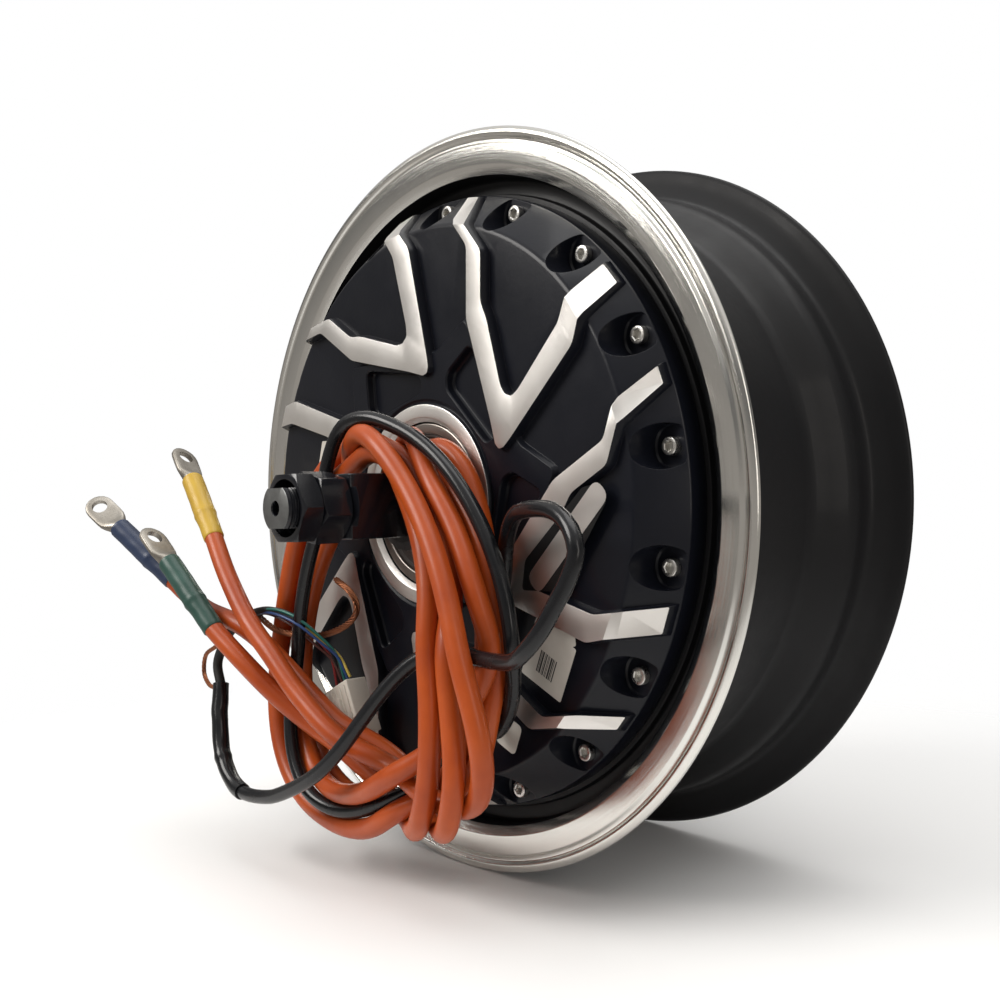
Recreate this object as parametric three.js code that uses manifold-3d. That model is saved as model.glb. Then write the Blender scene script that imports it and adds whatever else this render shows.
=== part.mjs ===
// Hub motor wheel: a 13 inch cast wheel with a brushless motor inside it.
// Millimetres. The axle lies along Y, the cable side faces -Y, +Z is up and
// the origin is on the axle in the rim's middle plane.
import * as THREE from 'three';
import { mergeVertices } from 'three/addons/utils/BufferGeometryUtils.js';
import Module from 'manifold-3d';

const wasm = await Module();
wasm.setup();

// ---------------------------------------------------------------- sizes
const GAP = 0.3;                 // clearance between touching pieces
const FLANGE_R = 182;            // rim outer radius
const FLANGE_Y = 61.2;           // outermost face of each rim lip
const BEAD_R = 164.7;            // 13 inch bead seat
const WELL_R = 160;              // inside of the lip
const DROP_R = 151.5;            // bottom of the drop centre
const BORE_R = 138;              // inside of the rim's end lands
const LAND_R = 152;              // outside of the face each cover sits on
const WELL_Y = 46;               // floor of the gutter between cover and lip
const COVER_R = 149.8;           // cover outer edge
const COVER_EDGE_Y = 60.2;       // where the cover's slope meets its edge
const COVER_SEAT_Y = 50;         // face the covers are screwed to
const CREASE_R = 134;            // where dome and slope meet
const DOME_Y = 78;               // dome height at the crease
const HUB_R = 48.8;              // bright ring round the bearing
const HUB_Y = 81.3;              // face of that ring
const SPIDER_Y = 80.3;           // black face round the hub ring
const HUB_BORE_R = 50;           // outside of the bearing seat, inside the wheel
const BEARING_LEDGE_R = 35.5;    // lip that stops each bearing
const ARM_Y = 83;                // bright V faces
const ARM_COUNT = 6;
const SCREW_COUNT = 18;
const SCREW_PCD_R = 143;
const SCREW_START = 88.4;        // degrees from +X towards +Z
const SCREW_STEP = 360 / SCREW_COUNT;
const SCREW_FLOOR_Y = 60.7;      // floor of each screw pocket
const SCREW_HEAD_R = 4.25;
const SCREW_HEAD_H = 5;
const SOCKET_R = 2.3;
const SOCKET_DEPTH = 2.5;
const SCREW_R = 2.5;
const SCREW_LENGTH = 18;
const POCKET_R = 9.5;

const BEARING_OR = 40;           // 6208 ball bearing, 40 x 80 x 18
const BEARING_IR = 20;
const BEARING_W = 18;
const BEARING_Y = 79;            // outer face of each bearing
const BALL_COUNT = 9;
const BALL_R = 5.9;
const BALL_PCD_R = 30;
const RACE_OUT = 34.6;           // land radius of the outer race
const RACE_IN = 26.4;            // land radius of the inner race

const STATOR_R = 136.5;
const STATOR_HALF = 25;
const SLOT_COUNT = 24;
const MAGNET_IN = 137.3;
const MAGNET_OUT = 140.4;
const IRON_OUT = 146;
const IRON_HALF = 30;

const AXLE_TIP_Y = 163;
const THREAD_R = 11.9;           // thread outside radius
const THREAD_FLAT_Z = 8.9;       // half the distance across the thread flats
const SHOULDER_Y0 = 98.8;        // inner end of the square shoulder
const SHOULDER_Y1 = 132;         // outer end of the square shoulder
const SHOULDER_X = 13;
const SHOULDER_Z = 15;
const SHOULDER_TURN_R = 19.8;    // turned radius the shoulder is milled from
const CENTRE_HOLE_R = 3.2;       // centre drilling in each end
const CABLE_BORE_R = 9;          // inside of the hollow axle
const NECK_R = 15;               // round neck between bearing and shoulder
const NUT_FLATS = 30;            // across flats
const NUT_REAR = [132.3, 147.3];
const NUT_FRONT = [147.6, 159.2];

const PHASE_D = 10;
const SIGNAL_D = 7;
const WIRES_D = 6;

// ------------------------------------------------------------ materials
const paint = (name, color, roughness, metalness) =>
  new THREE.MeshStandardMaterial({ name, color, roughness, metalness });
const BLACK_COAT = paint('black_coat', 0x17181a, 0.4, 0.3);
const BRIGHT = paint('bright_aluminium', 0xc9c7c2, 0.25, 1.0);
const STEEL = paint('bearing_steel', 0x9a9894, 0.3, 1.0);
const BOLT = paint('zinc_steel', 0xb5b3ae, 0.35, 1.0);
const OXIDE = paint('black_oxide', 0x111215, 0.35, 0.7);
const IRON = paint('lamination_iron', 0x55585c, 0.5, 0.8);
const MAGNET = paint('magnet_nickel', 0x8d8f92, 0.3, 1.0);
const COPPER = paint('copper', 0xb5652f, 0.35, 1.0);
const RUBBER = paint('black_rubber', 0x1a1a1a, 0.7, 0.0);
const SEAL = paint('seal_rubber', 0x2a211e, 0.6, 0.0);
const ORANGE = paint('orange_silicone', 0xd2501f, 0.5, 0.0);
const JACKET = paint('black_jacket', 0x1b1c1e, 0.45, 0.0);
const YELLOW = paint('yellow_sleeve', 0xd9b02b, 0.5, 0.0);
const GREEN = paint('green_sleeve', 0x2f5a4b, 0.5, 0.0);
const BLUE = paint('blue_sleeve', 0x2e3d5c, 0.5, 0.0);
const TIN = paint('tinned_copper', 0xb9b2a6, 0.35, 1.0);
const NYLON = paint('white_nylon', 0xd8d4ca, 0.5, 0.0);
const BOARD = paint('circuit_board', 0x1f5a35, 0.6, 0.0);

const ROUND = 40;                // facets round the big rings, the same on mating pieces

// -------------------------------------------------------------- helpers
const rad = (degrees) => degrees * Math.PI / 180;
const polar = (r, degrees) => [r * Math.cos(rad(degrees)), r * Math.sin(rad(degrees))];

function solid(geometry) {
  const g = geometry.clone();
  g.deleteAttribute('normal');
  g.deleteAttribute('uv');
  const m = mergeVertices(g, 1e-4);
  const mesh = new wasm.Mesh({
    numProp: 3,
    vertProperties: new Float32Array(m.attributes.position.array),
    triVerts: new Uint32Array(m.index.array),
  });
  return new wasm.Manifold(mesh);
}

function geometryOf(manifold) {
  const mesh = manifold.getMesh();
  const g = new THREE.BufferGeometry();
  g.setAttribute('position', new THREE.BufferAttribute(new Float32Array(mesh.vertProperties), 3));
  g.setIndex(new THREE.BufferAttribute(new Uint32Array(mesh.triVerts), 1));
  const flat = g.toNonIndexed();
  flat.computeVertexNormals();
  return flat;
}

// A closed ring or disc about Y from a loop of [radius, y] points.
function turned(points, segments = ROUND) {
  const loop = points.map(([r, y]) => new THREE.Vector2(r, y));
  const area = THREE.ShapeUtils.area(loop);
  if (area < 0) loop.reverse();
  loop.push(loop[0].clone());
  return solid(new THREE.LatheGeometry(loop, segments));
}

// A round bar about Y, from a list of [radius, y] points that starts and ends on the axis.
function bar(points, segments = 32) {
  const line = points.map(([r, y]) => new THREE.Vector2(r, y));
  if (line[line.length - 1].y < line[0].y) line.reverse();
  return solid(new THREE.LatheGeometry(line, segments));
}

// An outline of [x, z] points made solid between two y values.
function slab(points, y0, y1) {
  const shape = new THREE.Shape(points.map(([x, z]) => new THREE.Vector2(x, -z)));
  const g = new THREE.ExtrudeGeometry(shape, { depth: y1 - y0, bevelEnabled: false });
  g.rotateX(-Math.PI / 2);
  return solid(g).translate([0, y0, 0]);
}

function box(x0, x1, y0, y1, z0, z1) {
  const g = new THREE.BoxGeometry(x1 - x0, y1 - y0, z1 - z0);
  g.translate((x0 + x1) / 2, (y0 + y1) / 2, (z0 + z1) / 2);
  return solid(g);
}

// A cylinder parallel to Y at [x, z].
function pegY(x, z, r, y0, y1, segments = 16) {
  const g = new THREE.CylinderGeometry(r, r, y1 - y0, segments);
  g.translate(x, (y0 + y1) / 2, z);
  return solid(g);
}

function ringPoints(count, r, start, step) {
  return Array.from({ length: count }, (_, k) => polar(r, start - k * step));
}

// A round cord along a smooth line through points.
function tube(points, diameter, sides, steps) {
  const curve = new THREE.CatmullRomCurve3(points.map((p) => new THREE.Vector3(...p)), false, 'centripetal');
  const shape = new THREE.Shape();
  for (let k = 0; k < sides; k += 1) {
    const [x, y] = polar(diameter / 2, 360 * k / sides);
    if (k === 0) shape.moveTo(x, y);
    else shape.lineTo(x, y);
  }
  shape.closePath();
  return solid(new THREE.ExtrudeGeometry(shape, { steps, extrudePath: curve, bevelEnabled: false }));
}

// Turns a solid built along +Y from the origin so that +Y points along direction, and moves it.
function aim(manifold, at, direction, spin = 0) {
  const q = new THREE.Quaternion().setFromUnitVectors(
    new THREE.Vector3(0, 1, 0), new THREE.Vector3(...direction).normalize());
  const m = new THREE.Matrix4().compose(new THREE.Vector3(...at), q, new THREE.Vector3(1, 1, 1));
  m.multiply(new THREE.Matrix4().makeRotationY(spin));
  return manifold.transform(m.elements);
}

const group = new THREE.Group();
group.name = 'hub_motor_wheel';
function add(name, manifold, material) {
  const mesh = new THREE.Mesh(geometryOf(manifold), material);
  mesh.name = name;
  group.add(mesh);
}
const mirrorY = (points) => points.map(([r, y]) => [r, -y]);

// ------------------------------------------------------------------ rim
const lipInside = [
  [BORE_R, -COVER_SEAT_Y],
  [LAND_R, -COVER_SEAT_Y],
  [LAND_R, -WELL_Y],
  [WELL_R, -WELL_Y],
  [WELL_R, -57],
  [164.5, -60],
  [174, -60.4],
];
const lipGroove = [[176, -59.2]];
const lipEdge = [
  [178, -FLANGE_Y],
  [FLANGE_R, -60.4],
  [FLANGE_R, -57.5],
];
const flangeKnuckle = [[174, -55]];
const beadAndDrop = [
  [BEAD_R + 0.6, -49],
  [BEAD_R, -38],
  [DROP_R, -24],
];
const ironBed = [
  [BORE_R, IRON_HALF + GAP],
  [IRON_OUT + GAP, IRON_HALF + GAP],
  [IRON_OUT + GAP, -IRON_HALF - GAP],
  [BORE_R, -IRON_HALF - GAP],
];
const nearLip = [...lipInside, ...lipGroove, ...lipEdge, ...flangeKnuckle, ...beadAndDrop];
const farLip = mirrorY([...lipInside, ...lipEdge, ...beadAndDrop]);
const rimBody = turned([...nearLip, ...farLip.reverse(), ...ironBed]);
const screwSpots = ringPoints(SCREW_COUNT, SCREW_PCD_R, SCREW_START, SCREW_STEP);
const rim = screwSpots.reduce((body, [x, z]) =>
  body.subtract(pegY(x, z, SCREW_R + GAP, -COVER_SEAT_Y - 2, -COVER_SEAT_Y + 14, 8)), rimBody);
add('rim', rim, BLACK_COAT);

add('back_iron_ring', turned([
  [MAGNET_OUT + GAP, -IRON_HALF],
  [IRON_OUT, -IRON_HALF],
  [IRON_OUT, IRON_HALF],
  [MAGNET_OUT + GAP, IRON_HALF],
]), IRON);
add('magnet_ring', turned([
  [MAGNET_IN, -STATOR_HALF - 1],
  [MAGNET_OUT, -STATOR_HALF - 1],
  [MAGNET_OUT, STATOR_HALF + 1],
  [MAGNET_IN, STATOR_HALF + 1],
]), MAGNET);

// --------------------------------------------------------------- covers
// Outer skin, then inner skin, of the cable side cover.
const coverSkin = [
  [BEARING_OR + GAP, -HUB_Y],
  [HUB_R, -HUB_Y],
  [HUB_R + 0.6, -SPIDER_Y],
  [66, -SPIDER_Y],
  [72, -DOME_Y],
  [CREASE_R, -DOME_Y],
  [COVER_R, -COVER_EDGE_Y],
  [COVER_R, -COVER_SEAT_Y - GAP],
  [BORE_R - GAP, -COVER_SEAT_Y - GAP],
  [BORE_R - GAP, -WELL_Y],
  [133, -WELL_Y],
  [131, -70],
  [60, -72],
  [HUB_BORE_R, -70],
  [HUB_BORE_R, -58],
  [BEARING_LEDGE_R, -58],
  [BEARING_LEDGE_R, -60.4],
  [BEARING_OR + GAP, -60.4],
];
// One V: the tip near the hub, two cranked arms that end on the cover's edge.
const armOutline = [
  [22.0, 146.5],
  [29.0, 133.0],
  [31.5, 129.4],
  [40.4, 118.3],
  [38.9, 84.8],
  [53.9, 36.9],
  [56.6, 26.4],
  [59.0, 24.0],
  [62.0, 24.6],
  [66.6, 28.3],
  [106.6, 65.1],
  [110.0, 75.0],
  [111.6, 78.5],
  [118.6, 95.6],
  [111.0, 104.8],
  [104.3, 88.6],
  [102.8, 85.0],
  [98.6, 75.2],
  [72.5, 49.3],
  [68.4, 46.8],
  [63.9, 48.2],
  [61.2, 51.9],
  [53.0, 82.9],
  [49.1, 91.3],
  [50.1, 114.5],
  [39.0, 128.0],
  [37.9, 130.7],
  [29.5, 146.0],
];
const coverEnvelope = turned([
  [40.5, -ARM_Y],
  [CREASE_R + 1, -ARM_Y],
  [COVER_R, -COVER_EDGE_Y - 3.6],
  [COVER_R, -COVER_SEAT_Y - 2],
  [128, -72],
  [40.5, -75],
]);
const turn = (points, degrees) => points.map(([x, z]) => {
  const c = Math.cos(rad(degrees));
  const s = Math.sin(rad(degrees));
  return [x * c - z * s, x * s + z * c];
});
// A pocket beside each V, between its tip and the hub.
const pocketOutline = [polar(82, 62.5), polar(64.5, 72.6), polar(57.5, 71), polar(54.5, 30), polar(60, 29),
  polar(65.5, 35.5)];

let leftCover = turned(coverSkin);
for (let k = 0; k < ARM_COUNT; k += 1) {
  const angle = 360 / ARM_COUNT * k;
  const arm = slab(turn(armOutline, angle), -ARM_Y - 1, -COVER_SEAT_Y - 3);
  leftCover = leftCover.add(arm.intersect(coverEnvelope));
  leftCover = leftCover.subtract(slab(turn(pocketOutline, angle), -ARM_Y - 1, -DOME_Y));
}
for (const [x, z] of screwSpots) {
  leftCover = leftCover.subtract(pegY(x, z, POCKET_R, -ARM_Y, -SCREW_FLOOR_Y, 10));
  leftCover = leftCover.subtract(pegY(x, z, SCREW_R + GAP, -SCREW_FLOOR_Y - 1, -COVER_SEAT_Y + 1, 8));
}
add('left_cover', leftCover, BLACK_COAT);

const DISC_FACE_R = 62;
const DISC_FACE_Y = 84;
const DISC_HOLE_R = 52;
const DISC_HOLES = 6;
const DISC_SCREW_R = 4;
const rightSkin = [
  [BEARING_OR + GAP, DISC_FACE_Y],
  [DISC_FACE_R, DISC_FACE_Y],
  [DISC_FACE_R, DOME_Y - 1],
  [CREASE_R, DOME_Y - 5],
  [COVER_R, COVER_EDGE_Y],
  [COVER_R, COVER_SEAT_Y + GAP],
  [BORE_R - GAP, COVER_SEAT_Y + GAP],
  [BORE_R - GAP, WELL_Y],
  [133, WELL_Y],
  [131, 66],
  [62, 70],
  [HUB_BORE_R, 68],
  [HUB_BORE_R, 58],
  [BEARING_LEDGE_R, 58],
  [BEARING_LEDGE_R, 60.4],
  [BEARING_OR + GAP, 60.4],
];
let rightCover = turned(rightSkin);
for (const [x, z] of ringPoints(DISC_HOLES, DISC_HOLE_R, 90, 360 / DISC_HOLES)) {
  rightCover = rightCover.subtract(pegY(x, z, DISC_SCREW_R, DISC_FACE_Y - 11, DISC_FACE_Y + 1));
}
add('right_cover', rightCover, BLACK_COAT);

// A socket head screw, head outwards on the given side.
function coverScrew(x, z, side) {
  const head0 = SCREW_FLOOR_Y + GAP;
  const head1 = head0 + SCREW_HEAD_H;
  const points = [
    [0, head0 - SCREW_LENGTH],
    [SCREW_R, head0 - SCREW_LENGTH],
    [SCREW_R, head0],
    [SCREW_HEAD_R, head0],
    [SCREW_HEAD_R, head1],
    [SOCKET_R, head1],
    [SOCKET_R, head1 - SOCKET_DEPTH],
    [0, head1 - SOCKET_DEPTH],
  ];
  return bar(points.map(([r, y]) => [r, side * y]), 8).translate([x, 0, z]);
}
screwSpots.forEach(([x, z], k) => {
  add(`left_cover_screw_${String(k + 1).padStart(2, '0')}`, coverScrew(x, z, -1), BOLT);
});

// ------------------------------------------------------------- bearings
function grooved(side, land, wall) {
  const middle = side * (BEARING_Y - BEARING_W / 2);
  const reach = Math.sqrt((BALL_R + 0.2) ** 2 - (Math.abs(land - BALL_PCD_R)) ** 2);
  const points = [];
  for (let k = 0; k <= 4; k += 1) {
    const y = -reach + 2 * reach * k / 4;
    const bulge = Math.sqrt((BALL_R + 0.2) ** 2 - y * y);
    points.push([land > BALL_PCD_R ? BALL_PCD_R + bulge : BALL_PCD_R - bulge, middle + y]);
  }
  const y0 = middle - BEARING_W / 2;
  const y1 = middle + BEARING_W / 2;
  return turned([[wall, y1], [wall, y0], [land, y0], ...points, [land, y1]], 28);
}
function bearing(side, name) {
  const middle = side * (BEARING_Y - BEARING_W / 2);
  add(`${name}_bearing_outer_race`, grooved(side, RACE_OUT, BEARING_OR), STEEL);
  add(`${name}_bearing_inner_race`, grooved(side, RACE_IN, BEARING_IR + GAP), STEEL);
  let cage = turned([
    [BALL_PCD_R - 1.5, middle - 3],
    [BALL_PCD_R + 1.5, middle - 3],
    [BALL_PCD_R + 1.5, middle + 3],
    [BALL_PCD_R - 1.5, middle + 3],
  ], 27);
  for (const [x, z] of ringPoints(BALL_COUNT, BALL_PCD_R, 90, 360 / BALL_COUNT)) {
    const ball = new THREE.SphereGeometry(BALL_R, 8, 4);
    ball.translate(x, middle, z);
    cage = cage.add(solid(ball));
  }
  add(`${name}_bearing_balls_and_cage`, cage, STEEL);
  const s0 = side * (BEARING_Y - 1);
  const s1 = side * (BEARING_Y - 2.2);
  add(`${name}_bearing_seal`, turned([
    [RACE_IN + GAP, s0],
    [RACE_OUT - GAP, s0],
    [RACE_OUT - GAP, s1],
    [RACE_IN + GAP, s1],
  ], 28), SEAL);
}
bearing(-1, 'left');
bearing(1, 'right');

// --------------------------------------------------------------- stator
const slotStep = 360 / SLOT_COUNT;
const SLOT_FLOOR_R = 112;
const SLOT_TOP_R = 131.5;
const CORE_IN = 98;
const SLOT_HALF = 7.5;           // half width of each slot
const TOOTH_R = STATOR_R - 1;
const coreOutline = [];
for (let k = 0; k < SLOT_COUNT; k += 1) {
  const mid = k * slotStep;
  const at = (r, across) => polar(Math.hypot(r, across), mid + Math.atan2(across, r) * 180 / Math.PI);
  coreOutline.push(at(TOOTH_R, -SLOT_HALF), at(SLOT_FLOOR_R, -SLOT_HALF), at(SLOT_FLOOR_R, SLOT_HALF),
    at(TOOTH_R, SLOT_HALF), polar(STATOR_R, mid + slotStep / 2));
}
const coreBlank = slab(coreOutline, -STATOR_HALF, STATOR_HALF);
add('stator_core', coreBlank.subtract(pegY(0, 0, CORE_IN, -STATOR_HALF - 1, STATOR_HALF + 1, 72)), IRON);

const WIND_END = 10;             // how far the coils stand out of the core
let windings = null;
for (let k = 0; k < SLOT_COUNT; k += 1) {
  const bar1 = box(SLOT_FLOOR_R + GAP, SLOT_TOP_R - GAP, -STATOR_HALF - 1, STATOR_HALF + 1,
    -SLOT_HALF + GAP, SLOT_HALF - GAP).rotate([0, k * slotStep, 0]);
  windings = windings ? windings.add(bar1) : bar1;
}
for (const side of [-1, 1]) {
  const near = side * (STATOR_HALF + GAP);
  const far = side * (STATOR_HALF + WIND_END);
  windings = windings.add(turned([
    [SLOT_FLOOR_R - 2, near],
    [SLOT_TOP_R + 1, near],
    [SLOT_TOP_R - 2, far],
    [SLOT_FLOOR_R + 1, far],
  ], 36));
}
add('stator_windings', windings, COPPER);

const SPIDER_WINDOWS = 6;
let spider = turned([
  [BEARING_IR + 2 + GAP, -24],
  [34, -24],
  [40, -6],
  [CORE_IN - GAP, -6],
  [CORE_IN - GAP, 6],
  [40, 6],
  [34, 24],
  [BEARING_IR + 2 + GAP, 24],
], 36);
for (const [x, z] of ringPoints(SPIDER_WINDOWS, 64, 60, 360 / SPIDER_WINDOWS)) {
  spider = spider.subtract(pegY(x, z, 14, -10, 10, 10));
}
add('stator_spider', spider, BRIGHT);
add('hall_sensor_board', box(100, 124, -37.6, -36, -12, 12), BOARD);

// ----------------------------------------------------------------- axle
// The bar is turned, then milled: square shoulders and flats on the threads.
const axleLine = [
  [0, -AXLE_TIP_Y],
  [THREAD_R - 3, -AXLE_TIP_Y],
  [THREAD_R, -AXLE_TIP_Y + 2.5],
  [THREAD_R, -SHOULDER_Y1],
  [SHOULDER_TURN_R, -SHOULDER_Y1],
  [SHOULDER_TURN_R, -SHOULDER_Y0],
  [NECK_R, -SHOULDER_Y0],
  [NECK_R, -BEARING_Y - 0.5],
  [BEARING_IR, -BEARING_Y - 0.5],
  [BEARING_IR, -BEARING_Y + BEARING_W + 1],
  [BEARING_IR + 2, -BEARING_Y + BEARING_W + 1],
];
let axle = bar([...axleLine, ...mirrorY(axleLine).reverse()], 24);
for (const side of [-1, 1]) {
  const inner = side * SHOULDER_Y0;
  const step = side * SHOULDER_Y1;
  const tip = side * (AXLE_TIP_Y + 1);
  const [a0, a1] = [Math.min(inner, step), Math.max(inner, step)];
  const [b0, b1] = [Math.min(step, tip), Math.max(step, tip)];
  for (const way of [-1, 1]) {
    const wide = [way * SHOULDER_X, way * 30].sort((p, q) => p - q);
    const tall = [way * SHOULDER_Z, way * 30].sort((p, q) => p - q);
    const flat = [way * THREAD_FLAT_Z, way * 30].sort((p, q) => p - q);
    axle = axle.subtract(box(wide[0], wide[1], a0, a1, -30, 30));
    axle = axle.subtract(box(-30, 30, a0, a1, tall[0], tall[1]));
    axle = axle.subtract(box(-30, 30, b0, b1, flat[0], flat[1]));
  }
  const dimple = [side * (AXLE_TIP_Y - 9), side * (AXLE_TIP_Y + 1)].sort((p, q) => p - q);
  axle = axle.subtract(pegY(0, 0, CENTRE_HOLE_R, dimple[0], dimple[1]));
}
// Cable bore from the mouth above the neck to the inside of the wheel.
const MOUTH_Y = [-96, -84];
axle = axle.subtract(pegY(0, 0, CABLE_BORE_R, MOUTH_Y[0], -30, 20));
axle = axle.subtract(box(-8, 8, MOUTH_Y[0], MOUTH_Y[1], 0, 20));
axle = axle.subtract(box(-8, 8, -46, -30, 0, 30));
add('axle', axle, OXIDE);

function hexNut(span, side, spin) {
  const [near, far] = span;
  const hex = Array.from({ length: 6 }, (_, k) => polar(NUT_FLATS / 2 / Math.cos(rad(30)), spin + 60 * k));
  const y0 = side * near;
  const y1 = side * far;
  const blank = slab(hex, Math.min(y0, y1), Math.max(y0, y1));
  const cone = turned([
    [THREAD_R + GAP, y0],
    [NUT_FLATS / 2, y0],
    [NUT_FLATS / 2 + 2.6, y0 + side * 1.5],
    [NUT_FLATS / 2 + 2.6, y1 - side * 1.5],
    [NUT_FLATS / 2, y1],
    [THREAD_R + GAP, y1],
  ], 18);
  return blank.intersect(cone);
}
add('left_rear_nut', hexNut(NUT_REAR, -1, -13), OXIDE);
add('left_front_nut', hexNut(NUT_FRONT, -1, 0), OXIDE);
add('right_rear_nut', hexNut(NUT_REAR, 1, 11), OXIDE);
add('right_front_nut', hexNut(NUT_FRONT, 1, 4), OXIDE);

// ------------------------------------------------------ cables and ends
const BOOT_Y = [-94, -85];
add('cable_exit_boot', turned([
  [NECK_R + GAP, BOOT_Y[0]],
  [18, BOOT_Y[0]],
  [22, BOOT_Y[0] + 2],
  [22, BOOT_Y[1] - 2],
  [18, BOOT_Y[1]],
  [NECK_R + GAP, BOOT_Y[1]],
], 20).subtract(box(-7, 7, BOOT_Y[0] + 1.5, BOOT_Y[1] - 1.5, 10, 18)), RUBBER);

const COIL = { x: -3, y: -107, z: -57, half_x: 85, half_z: 87, thick: 9.4, deep: 11, lean: -2, tilt: -4 };
function coilBody() {
  const g = new THREE.TorusGeometry(1, COIL.thick / COIL.half_x, 8, 30);
  g.rotateX(Math.PI / 2);
  g.scale(COIL.half_x, COIL.deep * COIL.half_x / COIL.thick, COIL.half_z);
  g.rotateX(rad(COIL.lean));
  g.rotateZ(rad(COIL.tilt));
  g.translate(COIL.x, COIL.y, COIL.z);
  return solid(g);
}
add('cable_coil', coilBody(), ORANGE);

// Each free phase end: smooth line, straight last stretch, sleeve over the joint, ring lug.
const LUG = { barrel_r: 4.9, barrel: 12, pad_w: 16, pad_t: 3, pad: 22, hole_r: 4.3 };
const SLEEVE_IN = PHASE_D / 2 + GAP;
const SLEEVE_OUT = SLEEVE_IN + 1;
function lugBody() {
  const barrel = bar([[0, 0], [LUG.barrel_r, 0], [LUG.barrel_r, LUG.barrel], [0, LUG.barrel]], 20);
  const half = LUG.pad_w / 2;
  const outline = [[-half, LUG.barrel - 2], [half, LUG.barrel - 2]];
  for (let k = 0; k <= 10; k += 1) {
    const [x, y] = polar(half, 18 * k);
    outline.push([x, LUG.barrel + LUG.pad - half + y]);
  }
  const shape = new THREE.Shape(outline.map(([x, y]) => new THREE.Vector2(x, y)));
  const g = new THREE.ExtrudeGeometry(shape, { depth: LUG.pad_t, bevelEnabled: false });
  g.translate(0, 0, -LUG.pad_t / 2);
  const hole = new THREE.CylinderGeometry(LUG.hole_r, LUG.hole_r, 10, 20);
  hole.rotateX(Math.PI / 2);
  hole.translate(0, LUG.barrel + LUG.pad - half, 0);
  return barrel.add(solid(g)).subtract(solid(hole));
}
function phaseEnd(color, bends, end, sleeveLength, material, spin) {
  const last = new THREE.Vector3(...end);
  const before = new THREE.Vector3(...bends[bends.length - 1]);
  const direction = last.clone().sub(before).normalize();
  const straight = [0.2, 0.4, 0.6, 0.8, 1].map((t) => before.clone().lerp(last, t).toArray());
  const points = [...bends, ...straight];
  const lugStart = last.clone().addScaledVector(direction, GAP);
  const sleeveStart = last.clone().addScaledVector(direction, 8 - sleeveLength);
  add(`phase_cable_${color}`, tube(points, PHASE_D, 10, points.length), ORANGE);
  add(`${color}_lug`, aim(lugBody(), lugStart.toArray(), direction.toArray(), spin), TIN);
  const sleeve = turned([
    [SLEEVE_IN, 0],
    [SLEEVE_OUT, 0],
    [SLEEVE_OUT, sleeveLength],
    [SLEEVE_IN, sleeveLength],
  ], 16);
  add(`${color}_sleeve`, aim(sleeve, sleeveStart.toArray(), direction.toArray()), material);
}
phaseEnd('yellow', [[9, -115, -120], [-12, -126, -109], [-39, -130, -91], [-60, -132, -73], [-82, -132, -57],
  [-108, -129, -35], [-129, -125, -15]], [-157.5, -120.2, 12.6], 48, YELLOW, 0.4);
phaseEnd('green', [[-17, -113, -121], [-38, -114, -114], [-51, -117, -108], [-68, -126, -94],
  [-85, -134, -78], [-106, -139, -62]], [-138, -143.7, -32.2], 52, GREEN, 0.9);
phaseEnd('blue', [[2, -103, -117], [-20, -114, -108], [-38, -117, -99], [-62, -120, -83], [-84, -123, -69],
  [-102, -127, -60], [-131, -128, -54], [-148, -132, -46]], [-188.3, -147.5, -12.5], 50, BLUE, 0.2);

// Signal cable: a free loop beside the coil, and the free end with its thin wires and plug.
add('signal_cable_loop', tube([[98, -119, -66], [112, -127, -64], [120, -124, -58], [128, -121, -48],
  [136, -119, -34], [138, -118, -22], [133, -117, -12], [122, -115, -5], [111, -113, -7],
  [98, -107, -16]], SIGNAL_D, 10, 14), JACKET);
add('signal_cable_end', tube([[58, -112, -60], [36, -116, -66], [20, -126, -86], [-1, -138, -118],
  [-28, -138, -132], [-56, -138, -142], [-88, -137, -144], [-110, -134, -131], [-120, -130, -110],
  [-125, -126, -94], [-130, -122, -80]], SIGNAL_D, 10, 24), JACKET);
add('signal_wires', tube([[-131.2, -120.4, -77.8], [-128, -118.5, -70], [-118, -117, -61], [-99, -117, -53],
  [-80, -116, -53], [-66, -112, -59], [-56, -106, -67], [-49.4, -101.5, -76], [-43.7, -101, -88.3]],
WIRES_D, 8, 14), RUBBER);
add('signal_plug', box(-11, 11, -6, 6, -28, 0).subtract(box(-9, 9, -4, 4, -29, -18))
  .rotate([0, -25, 0]).translate([-43, -101, -90]), NYLON);

export default group;
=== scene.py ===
"""Looks of the hub motor wheel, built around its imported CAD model.

Lengths in the tables are millimetres and are turned into metres by M. The axle lies along Y,
the cable side faces -Y, +Z is up and the origin is the wheel's centre.
"""
import math

import bmesh
import bpy
import numpy as np
from mathutils import Matrix, Vector
from mathutils.geometry import delaunay_2d_cdt


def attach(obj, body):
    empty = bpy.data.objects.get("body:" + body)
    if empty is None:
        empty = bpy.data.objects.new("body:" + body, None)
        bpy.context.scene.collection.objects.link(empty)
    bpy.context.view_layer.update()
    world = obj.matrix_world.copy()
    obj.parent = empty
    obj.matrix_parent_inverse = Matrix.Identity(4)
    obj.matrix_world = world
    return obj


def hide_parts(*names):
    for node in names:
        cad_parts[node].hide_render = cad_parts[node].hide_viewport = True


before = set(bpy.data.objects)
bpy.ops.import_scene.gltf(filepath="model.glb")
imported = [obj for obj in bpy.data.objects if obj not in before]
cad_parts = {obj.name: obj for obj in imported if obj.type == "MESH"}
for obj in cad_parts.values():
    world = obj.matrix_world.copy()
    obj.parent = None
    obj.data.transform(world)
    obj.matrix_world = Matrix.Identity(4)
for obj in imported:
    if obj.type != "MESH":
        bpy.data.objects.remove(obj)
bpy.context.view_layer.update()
scene = bpy.context.scene

M = 0.001                        # metres in a millimetre
SIDES = 192                      # facets round the big rings
CORNER_STEPS = 3                 # points that round a corner of a turned profile

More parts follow.
